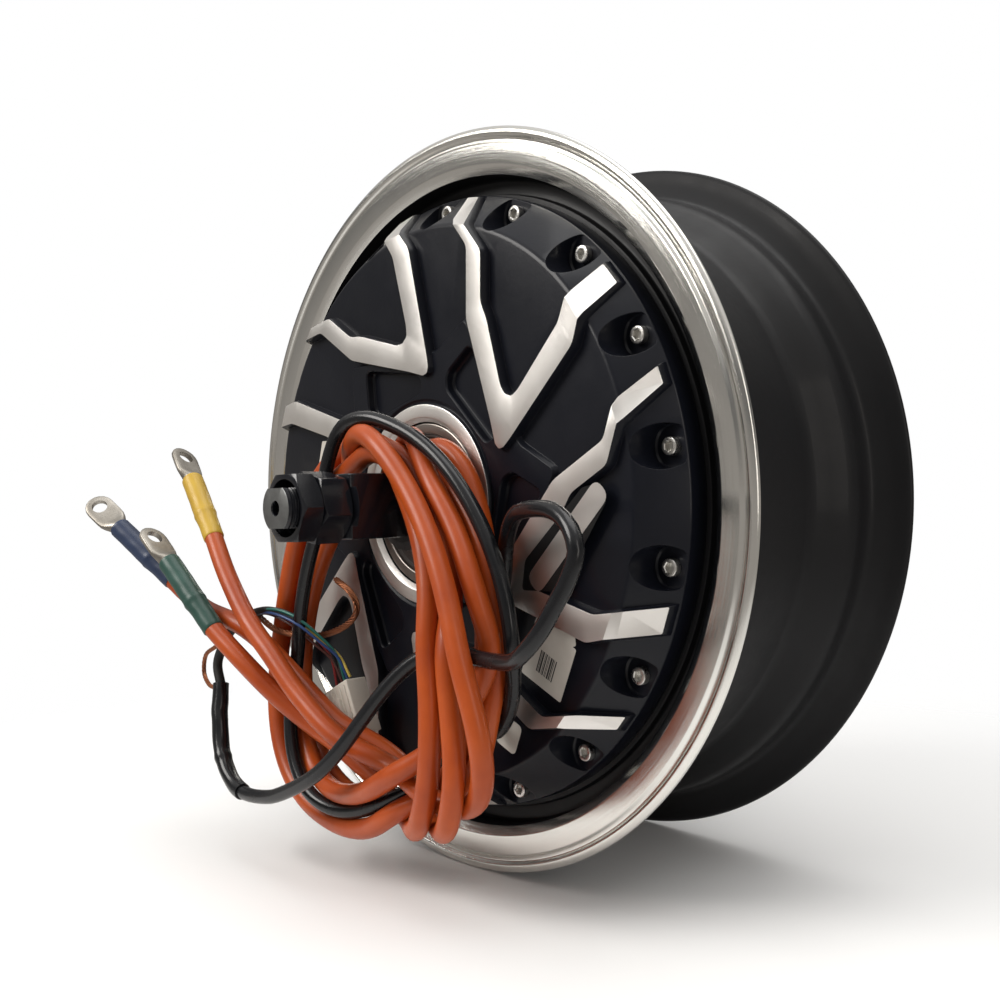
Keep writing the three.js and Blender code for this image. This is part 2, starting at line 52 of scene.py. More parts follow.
# ---------------------------------------------------------------- sizes
FLANGE_R = 182.0
FLANGE_Y = 61.2
BEAD_R = 164.7
DROP_R = 151.5
WELL_R = 160.0
WELL_Y = 46.0
LAND_R = 152.0
BORE_R = 138.0
COVER_R = 149.8
COVER_EDGE_Y = 60.2
COVER_SEAT_Y = 50.0
CREASE_R = 134.0
DOME_Y = 78.0
HUB_R = 48.8
HUB_Y = 81.3
PLATE_Y = 80.3
ARM_Y = 83.0
ARM_EDGE_Y = 63.8                # arm face where it meets the cover's edge
ARM_COUNT = 6
SCREW_COUNT = 18
SCREW_PCD_R = 143.0
SCREW_START = 88.4
SCREW_FLOOR_Y = 60.7
SCREW_HEAD_R = 3.9
SCREW_HEAD_H = 3.4
POCKET_R = 9.5
BEARING_OR = 40.0
BEARING_Y = 79.0
RACE_OUT = 34.6
RACE_IN = 26.4
BEARING_IR = 20.0
AXLE_TIP_Y = 163.0
THREAD_R = 11.9
THREAD_FLAT_Z = 8.9
SHOULDER_Y0 = 98.8
SHOULDER_Y1 = 132.0
SHOULDER_X = 13.0
SHOULDER_Z = 15.0
NECK_R = 15.0
NUT_FLATS = 30.0
NUT_RECESS_R = 12.9
NUT_REAR = (132.3, 147.3)
NUT_FRONT = (147.6, 158.2)


# ------------------------------------------------------------- 2D shapes
def polar(r, degrees):
    a = math.radians(degrees)
    return (r * math.cos(a), r * math.sin(a))


def rounded(points, radius, steps=4, closed=True):
    """The outline with each corner replaced by a curve that starts radius before it."""
    out = []
    count = len(points)
    for i, point in enumerate(points):
        if not closed and i in (0, count - 1):
            out.append(tuple(point[:2]))
            continue
        here = Vector(point[:2])
        before = Vector(points[i - 1][:2])
        after = Vector(points[(i + 1) % count][:2])
        own = point[2] if len(point) > 2 else radius
        cut = min(own, (before - here).length * 0.48, (after - here).length * 0.48)
        if cut < 0.02:
            out.append(tuple(here))
            continue
        start = here + (before - here).normalized() * cut
        end = here + (after - here).normalized() * cut
        for k in range(steps + 1):
            t = k / steps
            p = start * (1 - t) ** 2 + here * 2 * t * (1 - t) + end * t ** 2
            out.append(tuple(p))
    return out


def signed_area(outline):
    return 0.5 * sum(a[0] * b[1] - b[0] * a[1] for a, b in zip(outline, outline[1:] + outline[:1]))


def grown(outline, distance):
    """The outline moved outwards by distance, corners mitred."""
    way = 1 if signed_area(outline) > 0 else -1
    out = []
    count = len(outline)
    for i in range(count):
        here = Vector(outline[i])
        a = (here - Vector(outline[i - 1])).normalized()
        b = (Vector(outline[(i + 1) % count]) - here).normalized()
        normal = Vector((a.y + b.y, -a.x - b.x))
        if normal.length < 1e-6:
            out.append(tuple(here))
            continue
        normal.normalize()
        stretch = max(0.4, normal.dot(Vector((a.y, -a.x))))
        out.append(tuple(here + normal * (way * distance / stretch)))
    return out


def spun(points, degrees):
    c = math.cos(math.radians(degrees))
    s = math.sin(math.radians(degrees))
    return [(x * c - z * s, x * s + z * c) for x, z in points]


def ring_of(count, r, start=0.0):
    """Count points on a circle, going clockwise seen from the cable side."""
    return [polar(r, start - k * 360 / count) for k in range(count)]


# ------------------------------------------------------------ 3D meshes
def finish_mesh(bm, name, angle=32):
    bmesh.ops.remove_doubles(bm, verts=bm.verts, dist=2e-6)
    bmesh.ops.recalc_face_normals(bm, faces=bm.faces)
    mesh = bpy.data.meshes.new(name)
    bm.to_mesh(mesh)
    bm.free()
    shade(mesh, angle)
    return mesh


def shade(mesh, angle=32):
    for polygon in mesh.polygons:
        polygon.use_smooth = True
    mesh.set_sharp_from_angle(angle=math.radians(angle))


def turned(profile, sides=SIDES, name="turned"):
    """A ring about Y from a closed loop of (radius, y, finish of the band that follows)."""
    bm = bmesh.new()
    rows = []
    for s in range(sides):
        a = 2 * math.pi * s / sides
        rows.append([bm.verts.new((p[0] * math.cos(a) * M, p[1] * M, p[0] * math.sin(a) * M))
                     for p in profile])
    count = len(profile)
    for s in range(sides):
        row = rows[s]
        after = rows[(s + 1) % sides]
        for i in range(count):
            j = (i + 1) % count
            face = bm.faces.new((row[i], row[j], after[j], after[i]))
            face.material_index = profile[i][2] if len(profile[i]) > 2 else 0
    bmesh.ops.remove_doubles(bm, verts=bm.verts, dist=2e-6)
    bmesh.ops.dissolve_degenerate(bm, dist=1e-7, edges=bm.edges)
    return finish_mesh(bm, name)


def banded(bands, radius=0.6):
    """A closed loop from (radius, y, finish, corner) rows, with every corner rounded."""
    out = []
    count = len(bands)
    for i, row in enumerate(bands):
        corner = row[3] if len(row) > 3 else radius
        triple = [bands[i - 1][:2], (row[0], row[1], corner), bands[(i + 1) % count][:2]]
        curve = rounded(triple, radius, CORNER_STEPS, closed=False)[1:-1]
        before = bands[i - 1][2]
        for k, p in enumerate(curve):
            out.append((p[0], p[1], row[2] if k >= len(curve) // 2 else before))
    return out


def mirrored(rows):
    return [(row[0], -row[1], *row[2:]) for row in rows]


def lofted(levels, name="lofted", seams=()):
    """A solid through outlines of equal point count.

    Each level is (outline, y or a list of y values, finish).
    """
    bm = bmesh.new()
    rings = []
    for outline, heights, _ in levels:
        if not isinstance(heights, list):
            heights = [heights] * len(outline)
        rings.append([bm.verts.new((x * M, y * M, z * M)) for (x, z), y in zip(outline, heights)])
    count = len(rings[0])
    for low, high, level in zip(rings, rings[1:], levels[1:]):
        for i in range(count):
            j = (i + 1) % count
            face = bm.faces.new((low[i], low[j], high[j], high[i]))
            face.material_index = level[2]
    for ring, level in ((rings[0], levels[0]), (rings[-1], levels[-1])):
        flat = [Vector(p) for p in level[0]]
        loop = [(i, (i + 1) % count) for i in range(count)]
        faces, origins = delaunay_2d_cdt(flat, loop + list(seams), [], 1, 1e-5)[2:4]
        for corners in faces:
            verts = [ring[origins[c][0]] for c in corners]
            face = bm.faces.new(verts)
            face.material_index = level[2]
    return finish_mesh(bm, name)


def swept(points, section, sides=14, name="swept"):
    """A closed tube of polygons along points; section(share, angle) gives its radius in millimetres."""
    bm = bmesh.new()
    line = [Vector(p) for p in points]
    side = Vector((0.3, 0.2, 1.0))
    rings = []
    for k, here in enumerate(line):
        ahead = (line[min(k + 1, len(line) - 1)] - line[max(k - 1, 0)]).normalized()
        side = (side - ahead * side.dot(ahead)).normalized()
        across = ahead.cross(side)
        ring = []
        for j in range(sides):
            a = 2 * math.pi * j / sides
            r = section(k / (len(line) - 1), a)
            ring.append(bm.verts.new((here + (side * math.cos(a) + across * math.sin(a)) * r) * M))
        rings.append(ring)
    for low, high in zip(rings, rings[1:]):
        for j in range(sides):
            i = (j + 1) % sides
            bm.faces.new((low[j], low[i], high[i], high[j]))
    bm.faces.new(rings[0])
    bm.faces.new(rings[-1])
    return finish_mesh(bm, name, 50)


def block(x0, x1, y0, y1, z0, z1, bevel=0.0):
    bm = bmesh.new()
    bmesh.ops.create_cube(bm, size=1)
    for v in bm.verts:
        v.co = Vector(((x0 + x1) / 2 + v.co.x * (x1 - x0), (y0 + y1) / 2 + v.co.y * (y1 - y0),
                       (z0 + z1) / 2 + v.co.z * (z1 - z0))) * M
    if bevel:
        bmesh.ops.bevel(bm, geom=bm.edges[:], offset=bevel * M, segments=3, affect="EDGES", profile=0.5)
    return finish_mesh(bm, "block")


def moved(mesh, matrix):
    mesh.transform(matrix)
    return mesh


def cut(mesh, other, operation="DIFFERENCE"):
    """The boolean of two closed meshes; other may be a list, joined first."""
    holder = bpy.data.objects.new("holder", mesh)
    tool = bpy.data.objects.new("tool", joined(other) if isinstance(other, list) else other)
    scene.collection.objects.link(holder)
    scene.collection.objects.link(tool)
    step = holder.modifiers.new("step", "BOOLEAN")
    step.operation = operation
    step.solver = "MANIFOLD"
    step.object = tool
    graph = bpy.context.evaluated_depsgraph_get()
    result = bpy.data.meshes.new_from_object(holder.evaluated_get(graph))
    bpy.data.objects.remove(holder)
    bpy.data.objects.remove(tool)
    shade(result)
    return result


def joined(meshes):
    """One mesh of several."""
    bm = bmesh.new()
    for mesh in meshes:
        bm.from_mesh(mesh)
    return finish_mesh(bm, meshes[0].name)


def piece(name, mesh, materials, body, slot, *nodes):
    """A finished object: its materials, the body it rides on and the nodes it stands for. The slot argument
    is not used.
    """
    finishes = [polygon.material_index for polygon in mesh.polygons]
    mesh.materials.clear()
    for material in materials:
        mesh.materials.append(material)
    mesh.polygons.foreach_set("material_index", finishes)
    mesh.name = name
    obj = bpy.data.objects.new(name, mesh)
    scene.collection.objects.link(obj)
    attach(obj, body)
    if nodes:
        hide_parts(*nodes)
    return obj


# --------------------------------------------------------------- camera
CAMERA_AT = (439.7, -423.1, -1.5)
CAMERA_AZIMUTH = 47.24
CAMERA_ELEVATION = 1.48
CAMERA_ROLL = -1.59
CAMERA_LENS = 40.9
CAMERA_SHIFT = (-0.0206, 0.0345)


def make_camera():
    az = math.radians(CAMERA_AZIMUTH)
    el = math.radians(CAMERA_ELEVATION)
    roll = math.radians(CAMERA_ROLL)
    back = Vector((math.sin(az) * math.cos(el), -math.cos(az) * math.cos(el), math.sin(el)))
    level = Vector((math.cos(az), math.sin(az), 0))
    up = back.cross(level)
    right = level * math.cos(roll) + up * math.sin(roll)
    top = up * math.cos(roll) - level * math.sin(roll)
    turn = Matrix((right, top, back)).transposed().to_4x4()
    data = bpy.data.cameras.new("camera")
    data.sensor_width = 36
    data.lens = CAMERA_LENS
    data.shift_x, data.shift_y = CAMERA_SHIFT
    data.clip_start = 0.02
    camera = bpy.data.objects.new("camera", data)
    camera.matrix_world = Matrix.Translation(Vector(CAMERA_AT) * M) @ turn
    scene.collection.objects.link(camera)
    scene.camera = camera


make_camera()


# ---------------------------------------------------------------- cords
# Each cable leaves the axle's mouth, is wound in the coil that hangs on the axle, and ends in a free
# tail. A lay station is (angle round the coil, millimetres outwards, millimetres to the front).
COIL_AT = Vector((-4.0, -107.0, -56.0))
COIL_HALF = (94.0, 90.0)
COIL_TILT = -4.0
PHASE_D = 10.0
SIGNAL_D = 7.0
CORD_STEP = 5.0
CORD_GAP = 0.2
LAY_ROUNDS = 200
LAST_ROUNDS = 30                 # rounds at the end in which the way moved isn't smoothed
HOME_ROUNDS = 16                 # smoothing of the listed route before the cables push
PUSH_BLURS = 3
PUSH_SHARE = 0.6
CROWD_SHARE = 0.35
SPRING_BACK = 0.99
OWN_REACH = 5                    # steps along one cable that don't push each other
COVER_STOP_Y = 84.2              # cables lie in front of this, and may sink past it a little
COVER_SINK = 0.6
AXLE_AIR = 0.3
AXLE_TOP_Z = 6                   # cables higher than this go over the axle's shoulder
ROUTES = {
    "yellow": {
        "start": [
            (-10, -91, 9), (-9, -94, 20), (3, -100, 28), (20, -101, 24),
        ],
        "lay": [
            (42, -15, -6), (24, -15, -3), (11, -13, 0), (-1, -14, 0),
            (-20, -14, 1), (-38, -15, 4), (-54, -16, 8), (-77, -13, 13), (-99, -5, 14), (-114, 2, 13),
            (-125, 2, 11), (-138, -4, 8), (-155, -13, 4), (-178, -23, 1), (-206, -28, 0), (-230, -20, -4),
            (-246, -7, -5), (-256, 0, -2), (-265, -2, 0), (-279, -8, 1), (-296, -15, 4), (-313, -19, 7),
            (-331, -19, 10), (-348, -16, 12), (-360, -12, 13), (-373, -2, 14), (-380, 9, 13),
            (-388, 18, 12), (-396, 20, 9), (-405, 16, 4), (-417, 10, 2),
        ],
        "tail": [
            (30, -108, -134), (9, -115, -120), (-12, -126, -109), (-39, -130, -91), (-60, -132, -73),
            (-82, -132, -57), (-108, -129, -35), (-129, -125, -15), (-157.5, -120.2, 12.6),
        ],
    },
    "green": {
        "start": [
            (10, -91, 9), (15, -91, 15), (24, -92, 17),
        ],
        "lay": [
            (67, -5, -12), (44, -13, -12), (26, -16, -11), (10, -16, -10), (-2, -15, -11),
            (-20, -10, -8), (-45, -4, -5), (-70, -4, -2), (-90, -1, -1), (-115, 6, 0), (-140, 4, 0),
            (-160, -4, -3), (-180, -13, -5), (-206, -18, -6), (-230, -12, -4), (-250, -8, -2),
            (-273, -13, -1), (-297, -24, 1), (-319, -31, 2), (-338, -32, 6), (-354, -31, 9),
            (-369, -27, 10), (-383, -23, 12), (-397, -12, 13), (-409, 2, 12), (-418, 8, 9), (-427, 6, 5),
        ],
        "tail": [
            (2, -104, -138), (-17, -113, -121), (-38, -114, -114), (-51, -117, -108), (-68, -126, -94),
            (-85, -134, -78), (-106, -139, -62), (-138, -143.7, -32.2),
        ],
    },
    "blue": {
        "start": [
            (0, -91, 12), (2, -91, 19), (9, -90, 25),
        ],
        "lay": [
            (78, 3, -17), (65, -5, -19), (52, -13, -20), (38, -18, -20), (24, -21, -19), (10, -23, -18),
            (-10, -22, -16), (-30, -16, -13), (-50, -7, -7), (-66, 0, 1),
            (-77, 2, 5), (-89, 8, 8), (-101, 12, 10), (-117, 17, 12), (-128, 18, 13), (-142, 14, 12),
            (-159, 3, 9), (-178, -11, 7), (-202, -15, 6), (-226, -6, 0), (-246, 2, -4), (-265, -8, -11),
            (-285, -20, -10), (-310, -28, -8), (-335, -29, -3), (-355, -28, 1), (-367, -28, 4),
            (-381, -17, 9), (-392, 2, 12), (-400, 13, 12), (-407, 17, 10), (-416, 15, 7), (-424, 10, 2),
        ],
        "tail": [
            (22, -104, -132), (2, -103, -117), (-20, -114, -108), (-38, -117, -99), (-62, -120, -83),
            (-84, -123, -69), (-102, -127, -60), (-131, -129, -54), (-148, -132, -46),
            (-188.3, -147.5, -12.5),
        ],
    },
    "signal": {
        "start": [
            (17, -90, 3), (21, -90, 2),
        ],
        "lay": [
            (70, -22, -16), (38, -24, -18), (10, -18, -18), (-15, -18, -18), (-40, -16, -14), (-63, -9, -6),
            (-77, -3, 4), (-89, 1, 9), (-101, 5, 13), (-114, 6, 17), (-123, 2, 19), (-136, -7, 18),
            (-154, -21, 15), (-179, -34, 11), (-211, -36, 10), (-232, -26, 4), (-254, -11, 3),
            (-252, -2, 5), (-254, 6, 6), (-262, 8, 5), (-272, 7, 3), (-284, 4, -1), (-298, 1, -4),
            (-313, -2, -6), (-327, -5, -8), (-339, -5, -9), (-351, -3, -8), (-361, -2, -8),
            (-372, -5, -10), (-384, -10, -13),
        ],
        "bend": [
            (62, -93, -106), (50, -91, -108), (42, -90, -98), (42, -90, -80), (50, -90, -60),
            (60, -90, -40), (66, -92, -25), (72, -95, -14),
        ],
        "tail": [
            (82, -100, -7), (97, -106, -4), (112, -111, -3), (124, -114, -4), (133, -116, -8),
            (139, -118, -14), (141, -119, -21), (137, -120, -31), (132, -122, -40), (126, -124, -50),
            (117, -125, -59), (104, -121, -65), (92, -117, -66), (76, -113, -64), (56, -112, -60),
            (36, -116, -66), (20, -126, -86), (-1, -138, -118), (-28, -138, -132), (-56, -138, -142),
            (-88, -137, -144), (-110, -134, -131), (-120, -130, -110), (-125, -126, -94),
        ],
    },
}
# Which stretches of a tail stay exactly where the list puts them: (first, last) point, None is the end.
HELD = {
    "yellow": ((2, None),), "green": ((2, None),), "blue": ((2, None),), "signal": ((1, 11), (19, None)),
}


def coil_point(angle, out, front):
    """A point of the coil: an ellipse in a plane turned a little about Z."""
    a = math.radians(angle)
    r = out + 1 / math.hypot(math.cos(a) / COIL_HALF[0], math.sin(a) / COIL_HALF[1])
    return COIL_AT + Matrix.Rotation(math.radians(COIL_TILT), 3, "Z") @ Vector((r * math.cos(a), -front,
                                                                              r * math.sin(a)))


def even_curve(points, step):
    """Evenly spaced points on a smooth curve through the given ones."""
    p = np.array([tuple(q) for q in points], float)
    p = np.vstack([2 * p[0] - p[1], p, 2 * p[-1] - p[-2]])
    fine = []
    for a, b, c, d in zip(p, p[1:], p[2:], p[3:]):
        for t in np.arange(0, 1, 1 / 12):
            fine.append(0.5 * (2 * b + (c - a) * t + (2 * a - 5 * b + 4 * c - d) * t ** 2
                               + (3 * b - a - 3 * c + d) * t ** 3))
    fine = np.array(fine + [p[-2]])
    along = np.concatenate([[0], np.cumsum(np.linalg.norm(np.diff(fine, axis=0), axis=1))])
    places = np.linspace(0, along[-1], int(along[-1] / step))
    return np.stack([np.interp(places, along, fine[:, k]) for k in range(3)], 1)


def held_points(path, tail, stretches):
    """Marks the points of the path that must not move."""
    held = np.zeros(len(path), bool)
    held[:2] = True
    for first, last in stretches:
        a = np.linalg.norm(path - np.array(tail[first]), axis=1).argmin()
        b = len(path) if last is None else np.linalg.norm(path - np.array(tail[last]), axis=1).argmin()
        held[a:b] = True
    return held


def blur(values, ends):
    """Spreads each cable's values along it, in place."""
    for a, b in zip(ends, ends[1:]):
        values[a + 1:b - 1] = 0.5 * values[a + 1:b - 1] + 0.25 * (values[a:b - 2] + values[a + 2:b])


def settled(paths, radii, held):
    """Pushes the cables apart until they only touch.

    They stay smooth, in front of the cover and on top of the axle.
    """
    ends = np.cumsum([0] + [len(path) for path in paths])
    place = np.vstack(paths)
    loose = ~np.concatenate(held)[:, None]
    for _ in range(HOME_ROUNDS):
        for a, b in zip(ends, ends[1:]):
            mean = 0.5 * (place[a:b - 2] + place[a + 2:b])
            place[a + 1:b - 1] += loose[a + 1:b - 1] * 0.5 * (mean - place[a + 1:b - 1])
    home = place.copy()
    radius = np.concatenate([np.full(len(path), r) for path, r in zip(paths, radii)])
    owner = np.concatenate([np.full(len(path), k) for k, path in enumerate(paths)])
    index = np.concatenate([np.arange(len(path)) for path in paths])
    held = np.concatenate(held)
    neighbours = (owner[:, None] == owner) & (abs(index[:, None] - index) < OWN_REACH)
    wanted = radius[:, None] + radius + CORD_GAP
    for turn in range(LAY_ROUNDS):
        apart = place[:, None] - place
        distance = np.linalg.norm(apart, axis=-1)
        overlap = np.where((distance < wanted) & ~neighbours, wanted - distance, 0.0)
        crowd = np.maximum(1, (overlap > 0).sum(1) * CROWD_SHARE)[:, None]
        away = apart / np.maximum(distance, 0.3)[..., None]
        push = (away * overlap[..., None] * PUSH_SHARE).sum(1) / crowd
        for _ in range(PUSH_BLURS):
            blur(push, ends)
        shift = place + loose * push - home
        if turn < LAY_ROUNDS - LAST_ROUNDS:
            shift *= SPRING_BACK
            blur(shift, ends)
        moved_to = home + loose * shift
        for a, b in zip(ends, ends[1:]):
            part = moved_to[a:b]
            bend = np.zeros_like(part)
            bend[1:-1] = 0.3 * (0.5 * (part[:-2] + part[2:]) - part[1:-1])
            swell = np.zeros_like(part)
            swell[1:-1] = 0.5 * (bend[:-2] + bend[2:])
            moved_to[a:b] += loose[a:b] * (bend - 0.9 * swell)
        front = np.minimum(moved_to[:, 1], COVER_SINK - radius - COVER_STOP_Y)
        moved_to[:, 1] = np.where(held, moved_to[:, 1], front)
        x, y, z = moved_to.T
        off = np.hypot(x, z)
        reach = math.hypot(SHOULDER_X, SHOULDER_Z) + AXLE_AIR + radius
        beside = (y < radius - SHOULDER_Y0) & (y > -SHOULDER_Y1 - radius)
        on_axle = (off < reach) & (z > AXLE_TOP_Z) & beside & ~held
        moved_to[on_axle] *= np.stack([reach / off, np.ones(len(off)), reach / off], 1)[on_axle]
        place = moved_to
    return [place[a:b] for a, b in zip(ends, ends[1:])]


def lay_cables():
    names = list(ROUTES)
    paths = []
    radii = []
    held = []
    for name in names:
        route = ROUTES[name]
        points = route["start"] + [coil_point(*station) for station in route["lay"]]
        points += route.get("bend", [])
        last, end = (Vector(p) for p in route["tail"][-2:])
        straight = [last.lerp(end, t) for t in (0.2, 0.4, 0.6, 0.8)]
        path = even_curve(points + route["tail"][:-1] + straight + [end], CORD_STEP)
        paths.append(path)
        radii.append((SIGNAL_D if name == "signal" else PHASE_D) / 2)
        held.append(held_points(path, route["tail"], HELD[name]))
    return dict(zip(names, settled(paths, radii, held)))


def tube_curve(name, points, diameter):
    """A curve object of one open spline with a round section."""
    data = bpy.data.curves.new(name, "CURVE")
    data.dimensions = "3D"
    data.bevel_depth = diameter / 2 * M
    data.bevel_resolution = 7
    data.use_fill_caps = True
    spline = data.splines.new("POLY")
    spline.points.add(len(points) - 1)
    for place, point in zip(spline.points, points):
        place.co = (point[0] * M, point[1] * M, point[2] * M, 1)
    spline.use_smooth = True
    obj = bpy.data.objects.new(name, data)
    scene.collection.objects.link(obj)
    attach(obj, "stator")
    return obj


CABLES = lay_cables()
cords = {name: tube_curve(f"{name}_cable", path, SIGNAL_D if name == "signal" else PHASE_D)
         for name, path in CABLES.items()}
for name in ("yellow", "green", "blue"):
    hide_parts(f"phase_cable_{name}", "cable_coil")
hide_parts("signal_cable_loop", "signal_cable_end", "cable_coil")


# ------------------------------------------------------------ materials
class Nodes:
    """A small helper that adds nodes to a material and links them."""

    def __init__(self, name):
        self.material = bpy.data.materials.new(name)
        self.material.use_nodes = True
        self.tree = self.material.node_tree
        self.shader = self.tree.nodes["Principled BSDF"]

    def add(self, kind, **values):
        node = self.tree.nodes.new(kind)
        for key, value in values.items():
            if key in node.inputs:
                node.inputs[key].default_value = value
            else:
                setattr(node, key, value)
        return node

    def link(self, out, into):
        self.tree.links.new(out, into)

    def place(self):
        return self.add("ShaderNodeTexCoord").outputs["Object"]

    def noise(self, scale, detail=4.0, rough=0.55):
        node = self.add("ShaderNodeTexNoise", Scale=scale, Detail=detail, Roughness=rough)
        self.link(self.place(), node.inputs["Vector"])
        return node.outputs["Fac"]

    def ramp(self, value, low, high, start=0.3, end=0.7):
        """Maps value to a number between low and high."""
        node = self.add("ShaderNodeMapRange")
        node.inputs["From Min"].default_value = start
        node.inputs["From Max"].default_value = end
        node.inputs["To Min"].default_value = low
        node.inputs["To Max"].default_value = high
        self.link(value, node.inputs["Value"])
        return node.outputs["Result"]

    def mix(self, factor, a, b):
        node = self.add("ShaderNodeMix", data_type="RGBA")
        node.inputs[6].default_value = (*a, 1)
        if isinstance(b, tuple):
            node.inputs[7].default_value = (*b, 1)
        else:
            self.link(b, node.inputs[7])
        self.link(factor, node.inputs[0])
        return node.outputs[2]

    def maths(self, operation, a, b=None):
        node = self.add("ShaderNodeMath", operation=operation)
        for socket, value in zip(node.inputs, (a, b)):
            if value is None:
                continue
            if isinstance(value, (int, float)):
                socket.default_value = value
            else:
                self.link(value, socket)
        return node.outputs[0]

    def radius(self):
        """Distance from the wheel's axis, in metres."""
        split = self.add("ShaderNodeSeparateXYZ")
        self.link(self.place(), split.inputs[0])
        flat = self.add("ShaderNodeCombineXYZ")
        self.link(split.outputs[0], flat.inputs[0])
        self.link(split.outputs[2], flat.inputs[2])
        length = self.add("ShaderNodeVectorMath", operation="LENGTH")
        self.link(flat.outputs[0], length.inputs[0])
        return length.outputs["Value"]

    def rings(self, spacing):
        """Fine turning marks: a noise along the radius, spacing millimetres coarse."""
        line = self.add("ShaderNodeTexNoise", noise_dimensions="1D", Detail=3.0, Roughness=0.8)
        self.link(self.maths("MULTIPLY", self.radius(), 1000 / spacing), line.inputs["W"])
        return line.outputs["Fac"]

    def bump(self, *heights, edge=None):
        """Chains bumps, each a (height, strength, distance in metres)."""
        normal = None
        if edge:
            bevel = self.add("ShaderNodeBevel", samples=4, Radius=edge)
            normal = bevel.outputs[0]
        for height, strength, distance in heights:
            node = self.add("ShaderNodeBump", Strength=strength, Distance=distance)
            self.link(height, node.inputs["Height"])
            if normal:
                self.link(normal, node.inputs["Normal"])
            normal = node.outputs[0]
        self.link(normal, self.shader.inputs["Normal"])

    def set(self, **values):
        for key, value in values.items():
            self.shader.inputs[key.replace("_", " ")].default_value = value


def coat_black(name, base, low, high, coat):
    """Satin black coat with orange peel, faint dust and handling marks."""
    n = Nodes(name)
    broad = n.noise(9.0, 3.0)
    lighter = tuple(c * 1.5 for c in base)
    n.link(n.mix(n.ramp(broad, 0.0, 1.0), base, lighter), n.shader.inputs["Base Color"])
    n.link(n.ramp(n.noise(55.0, 6.0, 0.65), low, high), n.shader.inputs["Roughness"])
    n.set(Coat_Weight=coat, Coat_Roughness=0.12, Metallic=0.0, Specular_IOR_Level=0.18)
    n.bump((n.noise(420.0, 2.0), 0.10, 0.0004), (n.noise(60.0, 3.0), 0.06, 0.001), edge=0.0006)
    return n.material


def bright_metal(name, colour, dark, low, high, spacing, strength):
    """Machined metal with turning marks about the wheel's axis and uneven polish."""
    n = Nodes(name)
    cloud = n.noise(26.0, 5.0, 0.6)
    n.link(n.mix(n.ramp(cloud, 0.0, 1.0, 0.25, 0.85), colour, dark), n.shader.inputs["Base Color"])
    rings = n.rings(spacing)
    worn = n.ramp(n.noise(48.0, 3.0, 0.5), low, high, 0.25, 0.8)
    n.link(worn, n.shader.inputs["Roughness"])
    n.set(Metallic=1.0)
    n.bump((rings, strength, 0.00012), (n.noise(240.0, 3.0), 0.012, 0.0003))
    return n.material


def plain_metal(name, colour, dark, low, high, scale=220.0, strength=0.12):
    n = Nodes(name)
    grain = n.noise(scale, 5.0, 0.7)
    n.link(n.mix(n.ramp(n.noise(60.0, 4.0), 0.0, 1.0), colour, dark), n.shader.inputs["Base Color"])
    n.link(n.ramp(grain, low, high), n.shader.inputs["Roughness"])
    n.set(Metallic=1.0)
    n.bump((grain, strength, 0.0003))
    return n.material


def soft_plastic(name, colour, shadow, low, high, scale=160.0, strength=0.1, coat=0.0):
    n = Nodes(name)
    cloud = n.noise(35.0, 4.0)
    n.link(n.mix(n.ramp(cloud, 0.0, 1.0), colour, shadow), n.shader.inputs["Base Color"])
    n.link(n.ramp(n.noise(90.0, 5.0), low, high), n.shader.inputs["Roughness"])
    n.set(Coat_Weight=coat, Coat_Roughness=0.2, Specular_IOR_Level=0.3)
    n.bump((n.noise(scale, 4.0), strength, 0.0004), (n.noise(22.0, 2.0), 0.15, 0.001))
    return n.material


BLACK = coat_black("black_coat", (0.0045, 0.0052, 0.0085), 0.28, 0.38, 0.15)
BARREL = coat_black("barrel_coat", (0.008, 0.008, 0.0088), 0.40, 0.52, 0.05)
POLISHED = bright_metal("polished_aluminium", (0.80, 0.79, 0.75),
                        (0.74, 0.73, 0.69), 0.11, 0.16, 0.35, 0.22)
TURNED = bright_metal("turned_aluminium", (0.84, 0.82, 0.79), (0.76, 0.73, 0.69), 0.34, 0.42, 0.25, 0.3)
RACE = bright_metal("race_steel", (0.34, 0.31, 0.28), (0.24, 0.21, 0.19), 0.28, 0.42, 0.4, 0.2)
ZINC = plain_metal("zinc_plate", (0.74, 0.73, 0.70), (0.55, 0.53, 0.49), 0.22, 0.36)
OXIDE = coat_black("black_oxide", (0.006, 0.0065, 0.009), 0.16, 0.28, 0.5)
BARE = plain_metal("bare_steel_end", (0.20, 0.205, 0.20), (0.14, 0.14, 0.14), 0.45, 0.6, 500.0, 0.4)
TINNED = plain_metal("tinned_copper", (0.40, 0.375, 0.335), (0.24, 0.22, 0.19), 0.36, 0.54, 90.0, 0.35)
ORANGE = soft_plastic("orange_silicone", (0.46, 0.078, 0.010), (0.34, 0.048, 0.006),
                      0.34, 0.50, 300.0, 0.06, 0.15)
JACKET = soft_plastic("black_jacket", (0.005, 0.0055, 0.007),
                      (0.009, 0.0095, 0.011), 0.2, 0.3, 260.0, 0.05, 0.15)
RUBBER = soft_plastic("black_rubber", (0.012, 0.012, 0.012), (0.022, 0.021, 0.02), 0.5, 0.7, 380.0, 0.25)
SEAL = soft_plastic("seal_rubber", (0.030, 0.021, 0.018), (0.045, 0.034, 0.03), 0.42, 0.6)
SHRINK_YELLOW = soft_plastic("yellow_shrink", (0.58, 0.38, 0.045),
                             (0.46, 0.27, 0.03), 0.34, 0.5, 120.0, 0.12, 0.1)
SHRINK_GREEN = soft_plastic("green_shrink", (0.030, 0.085, 0.068),
                            (0.020, 0.058, 0.045), 0.34, 0.5, 120.0, 0.12, 0.1)
SHRINK_BLUE = soft_plastic("blue_shrink", (0.035, 0.055, 0.115),
                           (0.024, 0.036, 0.075), 0.34, 0.5, 120.0, 0.12, 0.1)
